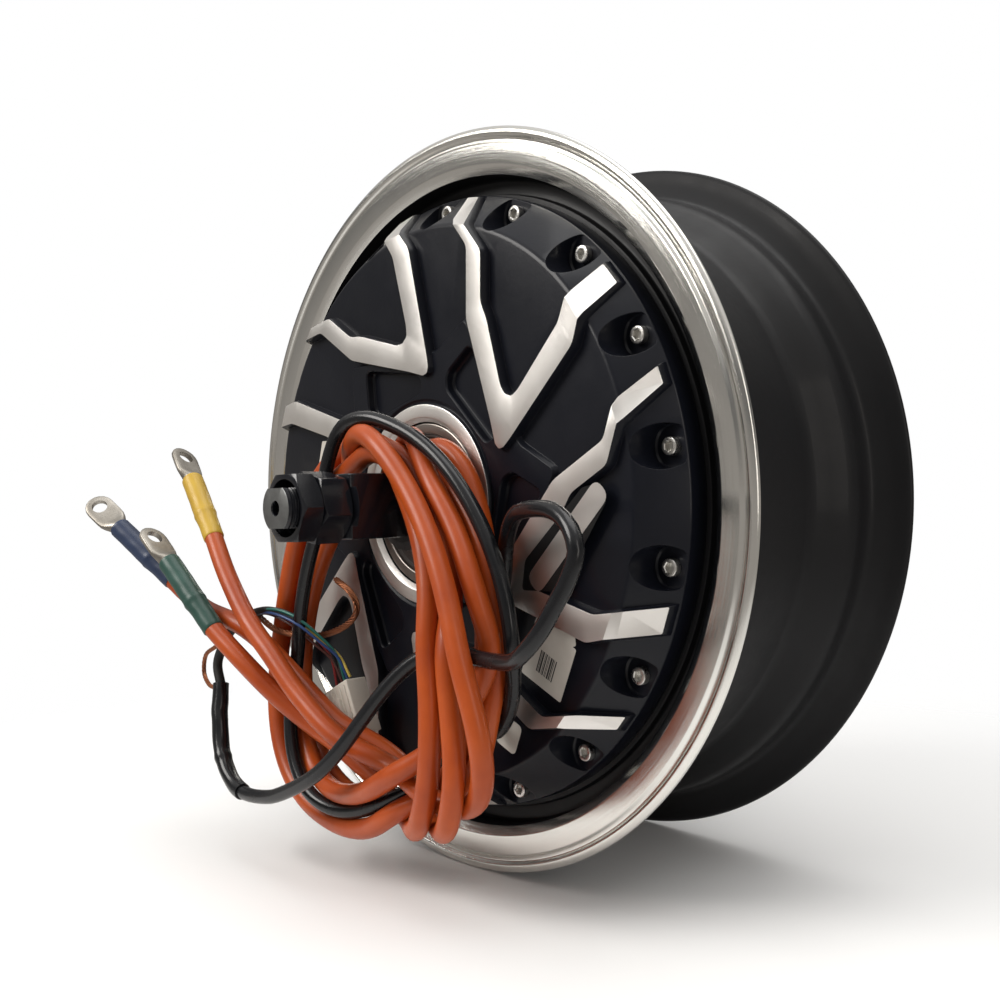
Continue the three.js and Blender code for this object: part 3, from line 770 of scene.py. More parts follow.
NYLON = soft_plastic("white_nylon", (0.70, 0.67, 0.60), (0.58, 0.54, 0.47), 0.4, 0.55)
PAPER = soft_plastic("label_paper", (0.72, 0.69, 0.63), (0.60, 0.57, 0.51), 0.55, 0.75, 600.0, 0.3)
INK = soft_plastic("label_ink", (0.03, 0.03, 0.03), (0.05, 0.05, 0.05), 0.5, 0.6)
BADGE = soft_plastic("badge_black", (0.008, 0.008, 0.009), (0.012, 0.012, 0.012), 0.28, 0.38, 300.0, 0.05)
COPPER = plain_metal("copper_wire", (0.42, 0.17, 0.085), (0.25, 0.10, 0.055), 0.4, 0.6, 500.0, 0.4)
IRON = plain_metal("lamination_iron", (0.30, 0.31, 0.32), (0.2, 0.2, 0.2), 0.4, 0.6)
NICKEL = plain_metal("magnet_nickel", (0.55, 0.54, 0.5), (0.4, 0.4, 0.37), 0.25, 0.4)
BOARD = soft_plastic("circuit_board", (0.02, 0.11, 0.04), (0.015, 0.08, 0.03), 0.35, 0.5)

# ------------------------------------------------------------------ rim
RIM_LIP = [
    (BORE_R, -COVER_SEAT_Y, 0), (LAND_R, -COVER_SEAT_Y, 0),
    (LAND_R, -WELL_Y, 0, 1.5), (WELL_R, -WELL_Y, 0, 3.0),
    (WELL_R, -57.2, 1, 0.3), (164.4, -60.1, 1, 0.5), (173.7, -60.6, 1, 0.4), (175.0, -59.5, 1, 0.4),
    (176.6, -59.5, 1, 0.5), (178.0, -61.0, 1, 0.8), (179.8, -FLANGE_Y, 1, 1.2), (FLANGE_R, -60.0, 1, 1.2),
    (FLANGE_R, -58.2, 1, 0.8), (180.6, -57.2, 0, 1.0), (174.0, -55.0, 0, 3.0),
    (BEAD_R + 1.4, -50.0, 0, 3.0), (BEAD_R + 0.3, -46.0, 0, 2.0), (BEAD_R, -38.0, 0, 5.0),
    (DROP_R + 4.0, -27.5, 0, 4.0), (DROP_R, -22.0, 0, 5.0),
]
IRON_BED = [(BORE_R, 30.3, 0), (146.3, 30.3, 0), (146.3, -30.3, 0), (BORE_R, -30.3, 0)]


def far_lip():
    """The near lip mirrored, coated all over."""
    return [(row[0], -row[1], 0, *row[3:]) for row in RIM_LIP[::-1]]


def make_rim():
    mesh = turned(banded(RIM_LIP + far_lip() + IRON_BED), 256, "rim")
    piece("rim_casting", mesh, [BARREL, POLISHED], "wheel", "black_coat", "rim")


make_rim()


# --------------------------------------------------------------- covers
COVER_FRONT = [
    (BEARING_OR + 0.3, -HUB_Y + 2.2, 1, 0.3), (42.6, -HUB_Y, 1, 0.3), (HUB_R, -HUB_Y, 0, 0.4),
    (HUB_R + 0.5, -HUB_Y + 2.0, 0, 0.3), (HUB_R + 1.8, -PLATE_Y + 0.6, 0, 0.3),
    (HUB_R + 2.6, -PLATE_Y, 0, 0.3), (66.0, -PLATE_Y, 0, 1.0), (70.0, -DOME_Y, 0, 1.0),
    (CREASE_R, -DOME_Y, 0, 1.6), (COVER_R, -COVER_EDGE_Y, 0, 0.7),
]
COVER_BACK = [
    (COVER_R, -COVER_SEAT_Y - 0.3, 0), (BORE_R - 0.3, -COVER_SEAT_Y - 0.3, 0), (BORE_R - 0.3, -WELL_Y, 0),
    (133.0, -WELL_Y, 0), (131.0, -70.0, 0, 3.0), (60.0, -72.0, 0, 3.0), (50.0, -70.0, 0, 2.0),
    (50.0, -58.0, 0),
    (35.5, -58.0, 0), (35.5, -60.4, 0), (BEARING_OR + 0.3, -60.4, 0),
]
# One V: its tip near the hub and two cranked arms that end on the cover's edge. A third number is
# the corner's own radius; the arms fold down at the points of radius 0.
ARM = [
    (22.6, 146.5, 0.6), (29.0, 133.0, 0.6), (31.5, 129.4, 0), (40.4, 118.3), (38.9, 84.8), (53.9, 36.9),
    (56.6, 26.4, 0.9), (59.0, 24.0, 1.0), (62.0, 24.6, 0.9), (66.6, 28.3), (106.6, 65.1), (110.0, 75.0, 0),
    (111.6, 78.5, 0.6), (117.1, 90.8, 0.6), (109.4, 100.0, 0.6), (104.3, 88.6, 0.6), (102.8, 85.0, 0),
    (98.6, 75.2), (72.5, 49.3), (68.4, 46.8, 1.2), (63.9, 48.2, 1.2), (61.2, 51.9), (53.0, 82.9),
    (49.1, 91.3),
    (50.1, 114.5), (39.0, 128.0, 0), (37.9, 130.7, 0.6), (30.3, 145.1, 0.6),
]
ARM_CORNER = 2.5
ARM_STEPS = 3
ARM_FOLDS = ((2, 25), (11, 16))   # corners that the fold line across each arm joins
ARM_CHAMFER = 0.45
ARM_WALL = 1.0
ARM_REACH = COVER_R - 0.15


def arm_face(r):
    """Height of the bright face: flat to the crease, then down with the cover's slope."""
    return -ARM_Y + max(0.0, (ARM_Y - ARM_EDGE_Y) * (r - CREASE_R) / (COVER_R - CREASE_R))


def cover_face(r):
    return -DOME_Y + max(0.0, (DOME_Y - COVER_EDGE_Y) * (r - CREASE_R) / (COVER_R - CREASE_R))


def arm_level(growth, angle):
    """The V's outline grown by growth mm, its corners rounded, held inside the cover's edge."""
    corners = grown([p[:2] for p in ARM], growth)
    radii = [p[2] if len(p) > 2 else ARM_CORNER for p in ARM]
    outline = []
    for i, (corner, radius) in enumerate(zip(corners, radii)):
        if radius == 0:
            outline.append(corner)
            continue
        after = corners[(i + 1) % len(corners)]
        triple = [corners[i - 1], (*corner, radius), after]
        outline += rounded(triple, radius, ARM_STEPS, closed=False)[1:-1]
    outline = [p if math.hypot(*p) < ARM_REACH else tuple(Vector(p).normalized() * ARM_REACH)
               for p in outline]
    return spun(outline, angle)


def arm_index(corner):
    """Place in the rounded outline of a corner of radius 0."""
    return sum(1 if len(p) > 2 and p[2] == 0 else ARM_STEPS + 1 for p in ARM[:corner])


def arm_solid(angle):
    outline = arm_level(0.0, angle)
    base = [arm_face(math.hypot(x, z)) for x, z in arm_level(0.0, 0.0)]
    foot = [cover_face(math.hypot(x, z)) for x, z in arm_level(ARM_WALL, 0.0)]
    seams = [(arm_index(a), arm_index(b)) for a, b in ARM_FOLDS]
    return lofted([
        (arm_level(ARM_WALL, angle), [y + 2.5 for y in foot], 0),
        (arm_level(ARM_WALL, angle), [y - 0.6 for y in foot], 0),
        (arm_level(ARM_CHAMFER, angle), [y + 1.0 for y in base], 0),
        (outline, base, 0),
        (arm_level(-0.12, angle), [y - 0.03 for y in base], 1),
    ], "arm", seams)


# The raised plate round the hub: its edge runs from each V's tip to the next V's arm.
PLATE = [point for k in range(ARM_COUNT) for point in (
    polar(73.8, 20.2 + 60 * k), polar(75.0, 42.0 + 60 * k), polar(92.0, 68.3 + 60 * k))]
POCKET = [
    polar(83.0, 62.9), polar(65.2, 71.8), polar(58.2, 70.2), polar(54.6, 30.5), polar(60.0, 29.5),
    polar(64.0, 33.0),
]


def plate_solid():
    outline = rounded(PLATE, 3.0, 3)
    return lofted([
        (grown(outline, 1.6), -DOME_Y + 2.0, 0), (grown(outline, 1.6), -DOME_Y - 0.1, 0),
        (grown(outline, 0.3), -PLATE_Y + 0.3, 0), (outline, -PLATE_Y, 0),
    ], "plate")


def plate_bore():
    """Clears the plate from the hub ring's bore and groove."""
    r = HUB_R + 2.6
    return turned([(0.0, -HUB_Y - 2), (r, -HUB_Y - 2), (r, -DOME_Y + 4), (0.0, -DOME_Y + 4)])


def pocket_cutter(angle):
    outline = spun(rounded(POCKET, 4.5, 5), angle)
    return lofted([
        (grown(outline, -1.2), -DOME_Y + 2.2, 0), (grown(outline, -0.3), -DOME_Y + 1.4, 0),
        (grown(outline, 0.2), -PLATE_Y + 0.6, 0), (grown(outline, 1.0), -PLATE_Y - 0.2, 0),
        (grown(outline, 1.0), -ARM_Y - 4.0, 0),
    ], "pocket")


def screw_cutter(x, z, side):
    profile = [
        (0.0, SCREW_FLOOR_Y), (POCKET_R - 0.8, SCREW_FLOOR_Y), (POCKET_R, 61.5), (POCKET_R, 90.0),
        (0.0, 90.0),
    ]
    mesh = turned([(r, side * y) for r, y in profile], 40, "spot")
    return moved(mesh, Matrix.Translation((x * M, 0, z * M)))


SCREW_SPOTS = ring_of(SCREW_COUNT, SCREW_PCD_R, SCREW_START)


def make_left_cover():
    plate = cut(plate_solid(), plate_bore())
    cover = cut(turned(banded(COVER_FRONT + COVER_BACK)), plate, "UNION")
    for k in range(ARM_COUNT):
        cover = cut(cover, arm_solid(60.0 * k), "UNION")
    cover = cut(cover, [pocket_cutter(60.0 * k) for k in range(ARM_COUNT)])
    cover = cut(cover, [screw_cutter(x, z, -1) for x, z in SCREW_SPOTS])
    return piece("left_cover_shell", cover, [BLACK, TURNED], "wheel", "black_coat", "left_cover")


DISC_FACE_Y = 84.0
DISC_FACE_R = 62.0
DISC_HOLES = 6
DISC_HOLE_PCD_R = 52.0


def make_right_cover():
    front = [
        (BEARING_OR + 0.3, DISC_FACE_Y, 1, 0.4), (DISC_FACE_R, DISC_FACE_Y, 0, 0.6),
        (DISC_FACE_R, 77.4, 0, 1.5), (CREASE_R, 73.0, 0, 4.0), (COVER_R, COVER_EDGE_Y, 0, 0.7),
    ]
    back = [
        (COVER_R, 50.3, 0), (BORE_R - 0.3, 50.3, 0), (BORE_R - 0.3, WELL_Y, 0), (133.0, WELL_Y, 0),
        (131.0, 66.0, 0, 3.0), (62.0, 70.0, 0, 3.0), (50.0, 68.0, 0, 2.0), (50.0, 58.0, 0), (35.5, 58.0, 0),
        (35.5, 60.4, 0), (BEARING_OR + 0.3, 60.4, 0),
    ]
    cover = turned(banded(front + back))
    holes = []
    for x, z in ring_of(DISC_HOLES, DISC_HOLE_PCD_R, 90.0):
        hole = turned([(0.0, 73.0), (4.0, 73.0), (4.0, 83.4), (4.8, 84.2), (4.8, 86.0), (0.0, 86.0)], 32)
        holes.append(moved(hole, Matrix.Translation((x * M, 0, z * M))))
    cover = cut(cover, holes)
    cover = cut(cover, [screw_cutter(x, z, 1) for x, z in SCREW_SPOTS])
    return piece("right_cover_shell", cover, [BLACK, TURNED], "wheel", "black_coat", "right_cover")


def screw_mesh(side):
    """The head of a socket cap screw, with rounded rim and a hexagon socket."""
    y0 = SCREW_FLOOR_Y + 0.1
    y1 = y0 + SCREW_HEAD_H
    head = turned(banded([(0.0, y0, 0, 0), (SCREW_HEAD_R, y0, 0, 0.2), (SCREW_HEAD_R, y1, 0, 0.8),
                          (0.0, y1, 0, 0)]), 48)
    hexagon = [polar(2.3, 60 * k) for k in range(6)]
    wide = [polar(2.75, 60 * k) for k in range(6)]
    socket = lofted([
        (hexagon, y1 - 2.4, 0), (hexagon, y1 - 0.4, 0), (wide, y1 + 0.05, 0), (wide, y1 + 1, 0),
    ])
    mesh = cut(head, socket)
    if side < 0:
        mesh.transform(Matrix.Scale(-1, 4, (0, 1, 0)))
        mesh.flip_normals()
    return mesh


def make_screws():
    for side, word in ((-1, "left"), (1, "right")):
        model = screw_mesh(side)
        for k, (x, z) in enumerate(SCREW_SPOTS):
            number = f"{k + 1:02d}"
            mesh = model.copy()
            mesh.transform(Matrix.Rotation(math.radians(37.0 * k), 4, "Y"))
            mesh.transform(Matrix.Translation((x * M, 0, z * M)))
            nodes = [f"left_cover_screw_{number}"] if side < 0 else []
            piece(f"{word}_cover_screw_head_{number}", mesh, [ZINC], "wheel", "zinc_steel", *nodes)


make_left_cover()
make_right_cover()
make_screws()


# ------------------------------------------------------------- bearings
def make_bearing(side, word):
    """The faces of the bearing that show through the hub, on the races' own bodies."""
    outer = turned(banded([
        (RACE_OUT, side * 61.0, 0), (RACE_OUT, side * 78.6, 0, 0.3), (35.2, side * BEARING_Y, 0, 0.2),
        (39.4, side * BEARING_Y, 0, 0.5), (BEARING_OR, side * 78.2, 0, 0.4), (BEARING_OR, side * 61.0, 0),
    ]), 96)
    piece(f"{word}_bearing_outer_ring", outer, [RACE], "wheel", "bearing_steel",
          f"{word}_bearing_outer_race")
    seal = turned(banded([
        (RACE_IN + 0.3, side * 76.8, 0), (RACE_IN + 0.3, side * 77.8, 0), (29.0, side * 78.0, 0, 0.4),
        (29.5, side * 77.4, 0, 0.3), (32.5, side * 77.4, 0, 0.3), (33.0, side * 78.1, 0, 0.4),
        (RACE_OUT - 0.2, side * 78.0, 0), (RACE_OUT - 0.2, side * 76.8, 0),
    ], 0.3), 96)
    piece(f"{word}_bearing_dust_seal", seal, [SEAL], "wheel", "seal_rubber", f"{word}_bearing_seal")


make_bearing(-1, "left")
make_bearing(1, "right")


# ----------------------------------------------------------------- axle
THREAD_PITCH = 1.5
THREAD_DEPTH = 0.85


def thread_profile(y0, y1):
    """Crests and roots of the thread between two y values."""
    rows = []
    y = y0
    while y < y1 - THREAD_PITCH:
        rows += [(THREAD_R, y), (THREAD_R, y + 0.25), (THREAD_R - THREAD_DEPTH, y + 0.65),
                 (THREAD_R - THREAD_DEPTH, y + 0.85)]
        y += THREAD_PITCH
    return rows


def axle_half():
    rows = [
        (0.0, 0.0), (22.0, 0.0), (22.0, 60.0), (BEARING_IR, 60.0), (BEARING_IR, 79.4), (18.0, 80.4),
        (NECK_R, 80.6), (NECK_R, SHOULDER_Y0), (19.8, SHOULDER_Y0), (19.8, SHOULDER_Y1),
        (THREAD_R, SHOULDER_Y1),
    ]
    rows += thread_profile(SHOULDER_Y1 + 0.5, AXLE_TIP_Y - 1.6)
    rows += [
        (THREAD_R - 0.2, AXLE_TIP_Y - 1.4), (10.9, AXLE_TIP_Y - 0.3), (10.4, AXLE_TIP_Y),
        (3.5, AXLE_TIP_Y), (3.2, AXLE_TIP_Y - 0.4), (3.2, AXLE_TIP_Y - 9.0), (0.0, AXLE_TIP_Y - 10.5),
    ]
    return rows


def make_axle():
    rows = axle_half()
    bare = {i for i, row in enumerate(rows) if row[1] >= AXLE_TIP_Y - 0.31 and row[0] > 3.3}
    near = [(r, -y, 1 if i in bare and i + 1 in bare else 0) for i, (r, y) in enumerate(rows)]
    far = [(r, y, 1 if i in bare and i - 1 in bare else 0) for i, (r, y) in enumerate(rows)][::-1]
    axle = turned(near[1:] + far[:-1], 96, "axle")
    keep = block(-SHOULDER_X, SHOULDER_X, SHOULDER_Y0 - 0.1, SHOULDER_Y1, -SHOULDER_Z, SHOULDER_Z, 0.8)
    middle = [(0.0, -SHOULDER_Y0), (30.0, -SHOULDER_Y0), (30.0, SHOULDER_Y0), (0.0, SHOULDER_Y0)]
    stock = [turned(middle, 64)]
    for side in (-1, 1):
        part = keep.copy()
        if side < 0:
            part.transform(Matrix.Scale(-1, 4, (0, 1, 0)))
            part.flip_normals()
        stock.append(part)
        ends = sorted((side * (SHOULDER_Y1 - 0.2), side * (AXLE_TIP_Y + 2)))
        stock.append(block(-20, 20, ends[0], ends[1], -THREAD_FLAT_Z, THREAD_FLAT_Z))
    envelope = stock[0]
    for part in stock[1:]:
        envelope = cut(envelope, part, "UNION")
    axle = cut(axle, envelope, "INTERSECT")
    piece("axle_shaft", axle, [OXIDE, BARE], "stator", "black_oxide", "axle")


def nut_mesh(near, far, spin):
    corner_r = NUT_FLATS / 2 / math.cos(math.pi / 6)
    hexagon = rounded([polar(corner_r, spin + 60 * k) for k in range(6)], 0.5, 2)
    blank = lofted([(hexagon, near, 0), (hexagon, far, 0)], "blank")
    reach = NUT_FLATS / 2 + 2.7
    cone = turned([
        (THREAD_R + 0.1, near + 0.8, 0), (THREAD_R + 0.9, near, 0), (14.9, near, 0),
        (reach, near + 1.6, 0), (reach, far - 1.4, 0), (15.4, far, 1), (NUT_RECESS_R, far, 0),
        (NUT_RECESS_R, far - 6.0, 0), (THREAD_R + 0.1, far - 6.8, 0),
    ], 96)
    return cut(blank, cone, "INTERSECT")


def make_nuts():
    spins = {"left_rear": -13, "left_front": 0, "right_rear": 11, "right_front": 4}
    for name, spin in spins.items():
        near, far = NUT_REAR if "rear" in name else NUT_FRONT
        mesh = nut_mesh(near, far, spin)
        if name.startswith("left"):
            mesh.transform(Matrix.Scale(-1, 4, (0, 1, 0)))
            mesh.flip_normals()
        piece(f"{name}_hex_nut", mesh, [OXIDE, BARE], "stator", "black_oxide", f"{name}_nut")


make_axle()
make_nuts()


# ------------------------------------------------------------ cable ends
LUG_SPINS = {"yellow": 1.0, "green": 0.9, "blue": 0.2}
LUG_ROWS = [                      # along the lug, half width, half thickness, squareness
    (-4.0, 4.8, 4.8, 2.0), (7.5, 4.9, 4.9, 2.0), (9.5, 5.6, 4.1, 2.2), (12.0, 7.0, 2.6, 3.0),
    (14.5, 7.8, 1.7, 4.5), (18.0, 8.0, 1.5, 6.0), (26.3, 8.0, 1.5, 6.0), (29.0, 7.55, 1.5, 5.0),
    (31.3, 6.25, 1.5, 5.0), (33.0, 4.4, 1.4, 4.0), (33.9, 2.7, 1.2, 3.0), (34.2, 1.2, 0.7, 2.0),
]
LUG_SIDES = 48
LUG_HOLE = (26.3, 4.3)            # place along the lug, radius
SLEEVE_LENGTHS = {"yellow": 48.0, "green": 52.0, "blue": 50.0}
SLEEVE_PAINT = {"yellow": SHRINK_YELLOW, "green": SHRINK_GREEN, "blue": SHRINK_BLUE}
SLEEVE_LAP = 8.0                  # how far a sleeve reaches over the lug's barrel
SLEEVE_ROWS = 60
SLEEVE_R = 5.55
SLEEVE_SWELL = 0.4                # how much wider it is over the barrel
SLEEVE_LIP = 0.35


def lug_frame(name):
    """The lug's own frame: +Y on along the cable, Z across the flat pad."""
    before, end = (Vector(p) for p in ROUTES[name]["tail"][-2:])
    turn = Vector((0, 1, 0)).rotation_difference((end - before).normalized()).to_matrix().to_4x4()
    return Matrix.Translation(end * M) @ turn @ Matrix.Rotation(LUG_SPINS[name], 4, "Y")


def lug_mesh():
    bm = bmesh.new()
    rings = []
    for y, half, thick, power in LUG_ROWS:
        ring = []
        for k in range(LUG_SIDES):
            a = 2 * math.pi * k / LUG_SIDES
            c, s = math.cos(a), math.sin(a)
            reach = (abs(c) ** power + abs(s) ** power) ** (-1 / power)
            ring.append(bm.verts.new((half * c * reach * M, y * M, thick * s * reach * M)))
        rings.append(ring)
    for low, high in zip(rings, rings[1:]):
        for k in range(LUG_SIDES):
            j = (k + 1) % LUG_SIDES
            bm.faces.new((low[k], low[j], high[j], high[k]))
    bm.faces.new(rings[0])
    bm.faces.new(rings[-1])
    hole = turned([(0.0, -5.0), (LUG_HOLE[1], -5.0), (LUG_HOLE[1], 5.0), (0.0, 5.0)], 40)
    hole.transform(Matrix.Translation((0, LUG_HOLE[0] * M, 0)) @ Matrix.Rotation(math.pi / 2, 4, "X"))
    return cut(finish_mesh(bm, "lug"), hole)


def sleeve_mesh(length, spin):
    """Heat-shrink from the cable over the barrel: it steps down on the cable and wrinkles between."""
    line = [(0, SLEEVE_LAP - length + length * k / SLEEVE_ROWS, 0) for k in range(SLEEVE_ROWS + 1)]

    def section(share, angle):
        y = SLEEVE_LAP - length + length * share
        lap = 0.30 * math.exp(-((y + length * 0.45) / 1.6) ** 2)
        wave = 0.09 * math.sin(y * 0.42 + 2 * angle + spin) * math.sin(y * 0.19 + angle)
        neck = SLEEVE_R + SLEEVE_SWELL * min(1.0, max(0.0, (y + length * 0.6) / 8.0))
        lip = SLEEVE_LIP if share > 0.99 or share < 0.01 else 0.0
        return neck + lap + wave - lip

    return swept(line, section, 36, "sleeve")


def make_cable_ends():
    for name, spin in LUG_SPINS.items():
        place = lug_frame(name)
        lug = moved(lug_mesh(), place)
        piece(f"{name}_cable_lug", lug, [TINNED], "stator", "tinned_copper", f"{name}_lug")
        sleeve = moved(sleeve_mesh(SLEEVE_LENGTHS[name], spin), place)
        piece(f"{name}_heat_shrink", sleeve, [SLEEVE_PAINT[name]], "stator", f"{name}_sleeve",
              f"{name}_sleeve")


def near_signal_end(length):
    """The last length mm of the signal cable's centreline."""
    path = CABLES["signal"]
    return path[-int(length / CORD_STEP):]


# Thin wires from the signal cable's stripped end to the plug: the line they share and each one's
# offset from it half way and at the plug.
WIRE_LINE = [
    (-124.8, -126.2, -94.5), (-130, -125, -84), (-127, -123, -74), (-119, -121, -64), (-104, -118, -56),
    (-85, -117, -53), (-68, -113, -57), (-57, -106, -67), (-49.4, -101.5, -76), (-43.7, -101, -88.3),
]
WIRES = [                         # paint, sideways, upwards, spread at the plug
    ("red", -0.9, 0.6, -6.0), ("black", 1.2, 2.2, -3.6), ("brown", -2.2, -3.0, -1.2),
    ("green", 3.6, 1.6, 1.2), ("blue", 4.6, -1.8, 3.6), ("yellow", 0.6, -1.2, 6.0),
]
WIRE_R = 0.75
STRAND_R = 0.45
STRANDS = 8
SHEATH_LENGTH = 78.0
SHEATH_R = 4.3
BRAID_LINE = [
    (-99, -117.5, -56), (-85, -113, -64), (-63.8, -104, -66), (-46.9, -100, -62), (-36.8, -98, -55.8),
    (-34.7, -98, -49), (-39.6, -99, -42.3), (-49.2, -100, -37),
]
BUNDLE_LINE = WIRE_LINE[:7]
SHIELD_LOOP = [
    (-126, -127, -96), (-136, -127, -96), (-144, -126, -90), (-143, -125, -80), (-131, -124.5, -74),
    (-119, -122, -66),
]


def wire_paint(name, colour):
    return soft_plastic(f"{name}_wire", colour, tuple(c * 0.6 for c in colour), 0.3, 0.45, 500.0, 0.05, 0.2)


WIRE_COLOURS = {
    "red": (0.30, 0.03, 0.03), "black": (0.01, 0.01, 0.01), "brown": (0.10, 0.035, 0.030),
    "green": (0.02, 0.16, 0.13), "blue": (0.025, 0.07, 0.22), "yellow": (0.55, 0.42, 0.08),
}


def braid_strand(route, reach, start):
    """One strand that winds round a route at a distance of reach mm."""
    line = []
    for k, point in enumerate(even_curve(route, 1.4)):
        a = start + k * 0.45
        away = Vector((0.5 * reach * math.sin(2 * a), reach * math.cos(a), reach * math.sin(a)))
        line.append(Vector(point) + away)
    return swept(line, lambda share, angle: STRAND_R, 6, "strand")


def make_signal_end():
    sheath = near_signal_end(SHEATH_LENGTH)

    def creased(share, angle):
        fold = 0.16 * math.sin(share * 15.0 + 2 * angle) * math.sin(share * 9.0)
        return SHEATH_R + fold + 0.5 * math.exp(-((share - 0.42) / 0.03) ** 2)

    mesh = swept(even_curve(sheath, 1.5), creased, 24, "sheath")
    piece("signal_heat_shrink", mesh, [JACKET], "stator", "black_jacket", "signal_cable_end")
    bundle = swept(even_curve(BUNDLE_LINE, 2.0), lambda share, angle: 2.6 - 1.0 * share ** 3, 16, "bundle")
    piece("signal_wire_tube", bundle, [RUBBER], "stator", "black_rubber", "signal_wires")
    for name, sideways, upwards, spread in WIRES:
        line = []
        for k, point in enumerate(WIRE_LINE[4:]):
            share = k / (len(WIRE_LINE) - 5)
            belly = math.sin(math.pi * share)
            line.append(Vector(point) + Vector((sideways * belly + spread * share ** 3,
                                                -0.6 * abs(sideways) * belly,
                                                upwards * belly + 0.5 * spread * share ** 3)))
        mesh = swept(even_curve(line, 1.5), lambda share, angle: WIRE_R, 10, "wire")
        paint = wire_paint(name, WIRE_COLOURS[name])
        piece(f"signal_wire_{name}", mesh, [paint], "stator", "black_rubber", "signal_wires")
    for name, route, reach in (("shield_braid", BRAID_LINE, 1.3), ("shield_loop", SHIELD_LOOP, 0.8)):
        strands = [braid_strand(route, reach, 2 * math.pi * k / STRANDS) for k in range(STRANDS)]
        piece(name, joined(strands), [COPPER], "stator", "copper", "signal_wires")


PLUG_TURN = -25.0
PLUG_AT = (-43.0, -101.0, -90.0)
PLUG_RIBS = (-8.2, -4.1, 0.0, 4.1, 8.2)
PLUG_HOLES = (-6.0, -3.6, -1.2, 1.2, 3.6, 6.0)


def make_plug():
    """The plug's housing: ribs along both wide faces, a step round its mouth and a latch."""
    parts = [block(-11, 11, -6, 6, -28, 0, 0.7), block(-11.4, 11.4, -6.4, 6.4, -28, -20, 0.6)]
    for x in PLUG_RIBS:
        parts.append(block(x - 0.5, x + 0.5, -6.7, 6.7, -19, -2, 0.2))
    parts.append(block(-3.6, 3.6, -8.4, -5.6, -24, -7, 0.5))
    shell = parts[0]
    for part in parts[1:]:
        shell = cut(shell, part, "UNION")
    shell = cut(shell, block(-9, 9, -4, 4, -29, -18, 0.0))
    for x in PLUG_HOLES:
        shell = cut(shell, block(x - 0.85, x + 0.85, -2.2, 2.2, -3.0, 0.5, 0.0))
    turn = Matrix.Rotation(math.radians(PLUG_TURN), 4, "Y")
    shell = moved(shell, Matrix.Translation(Vector(PLUG_AT) * M) @ turn)
    piece("signal_plug_housing", shell, [NYLON], "stator", "white_nylon", "signal_plug")


make_cable_ends()
make_signal_end()
make_plug()


# ---------------------------------------------------------------- labels
BADGE_FACE_Y = -ARM_Y - 0.06
BADGE_AREA = [(71.9, -39.0), (95.7, -39.0), (124.3, -0.4), (120.7, 6.6), (110.4, 5.3), (74.4, -25.7)]
PILL_ENDS = ((82.4, -33.4), (118.3, 1.4))
LABELS = {                        # corners, height of the face under it
    "stock_label": ([(75.4, -51.1), (99.6, -64.0), (89.0, -87.9), (64.6, -76.5)], -DOME_Y),
    "torn_label": ([(83.9, -57.1), (97.9, -45.6), (99.7, -62.3), (86.3, -65.9)], -DOME_Y - 0.2),
    "round_label": ([(54.3, -97.6), (64.2, -101.9), (58.3, -115.5), (45.5, -109.9)], -DOME_Y),
    "left_label": ([(-96.3, 21.0), (-91.4, 36.6), (-80.6, 36.0), (-70.0, 19.9)], -DOME_Y),
    "inner_label": ([(-14.5, -63.5), (6.0, -60.5), (16.0, -101.0), (-2.7, -102.4)], -DOME_Y),
}
LABEL_LIFT = 0.12
BARS = ((2, 1), (1, 1), (3, 2), (1, 1), (2, 2), (1, 1), (1, 2), (3, 1), (2, 1), (1, 2), (2, 1))
BAR_START = 0.30                  # share of the label's width where the first bar stands
BAR_UNIT = 0.012


def patch(corners, y, thick, corner):
    """A thin flat sticker on the cover, its outer face at y."""
    outline = rounded(corners, corner, 5)
    return lofted([(outline, y + thick, 0), (outline, y, 0)], "patch")


def bars(corners, y):
    """Blank bar pattern across the middle of a label: plain strokes that spell nothing."""
    a, b, c, d = (Vector(p) for p in corners)
    meshes = []
    place = BAR_START
    for width, gap in BARS:
        ends = []
        for share in (place, place + width * BAR_UNIT):
            top = a.lerp(b, share)
            low = d.lerp(c, share)
            ends.append((top.lerp(low, 0.42), top.lerp(low, 0.80)))
        outline = [tuple(ends[0][0]), tuple(ends[1][0]), tuple(ends[1][1]), tuple(ends[0][1])]
        meshes.append(lofted([(outline, y + 0.02, 1), (outline, y - 0.03, 1)], "bar"))
        place += (width + gap) * BAR_UNIT
    return meshes


def make_labels():
    for name, (corners, face) in LABELS.items():
        y = face - LABEL_LIFT
        meshes = [patch(corners, y, 0.10, 3.0 if "round" in name else 1.0)]
        if name == "stock_label":
            meshes += bars(corners, y)
        piece(name, joined(meshes), [PAPER, INK], "wheel", "white_nylon", "left_cover")
    first, last = (Vector(p) for p in PILL_ENDS)
    along = (last - first).normalized() * 5.2
    across = Vector((-along.y, along.x))
    pill = [tuple(p) for p in (first - along - across, last + along - across, last + along + across,
                               first - along + across)]
    field = patch(BADGE_AREA, BADGE_FACE_Y, 0.1, 2.0)
    piece("badge_field", field, [BADGE], "wheel", "black_coat", "left_cover")
    edge = patch(pill, BADGE_FACE_Y - 0.06, 0.08, 5.0)
    piece("badge_plain", edge, [TURNED], "wheel", "bright_aluminium", "left_cover")


make_labels()


# ------------------------------------------------- carried-over CAD nodes
def paint_node(node, material):
    """A CAD node whose shape is right keeps it and takes a finished material."""
    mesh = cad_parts[node].data
    mesh.materials.clear()
    mesh.materials.append(material)


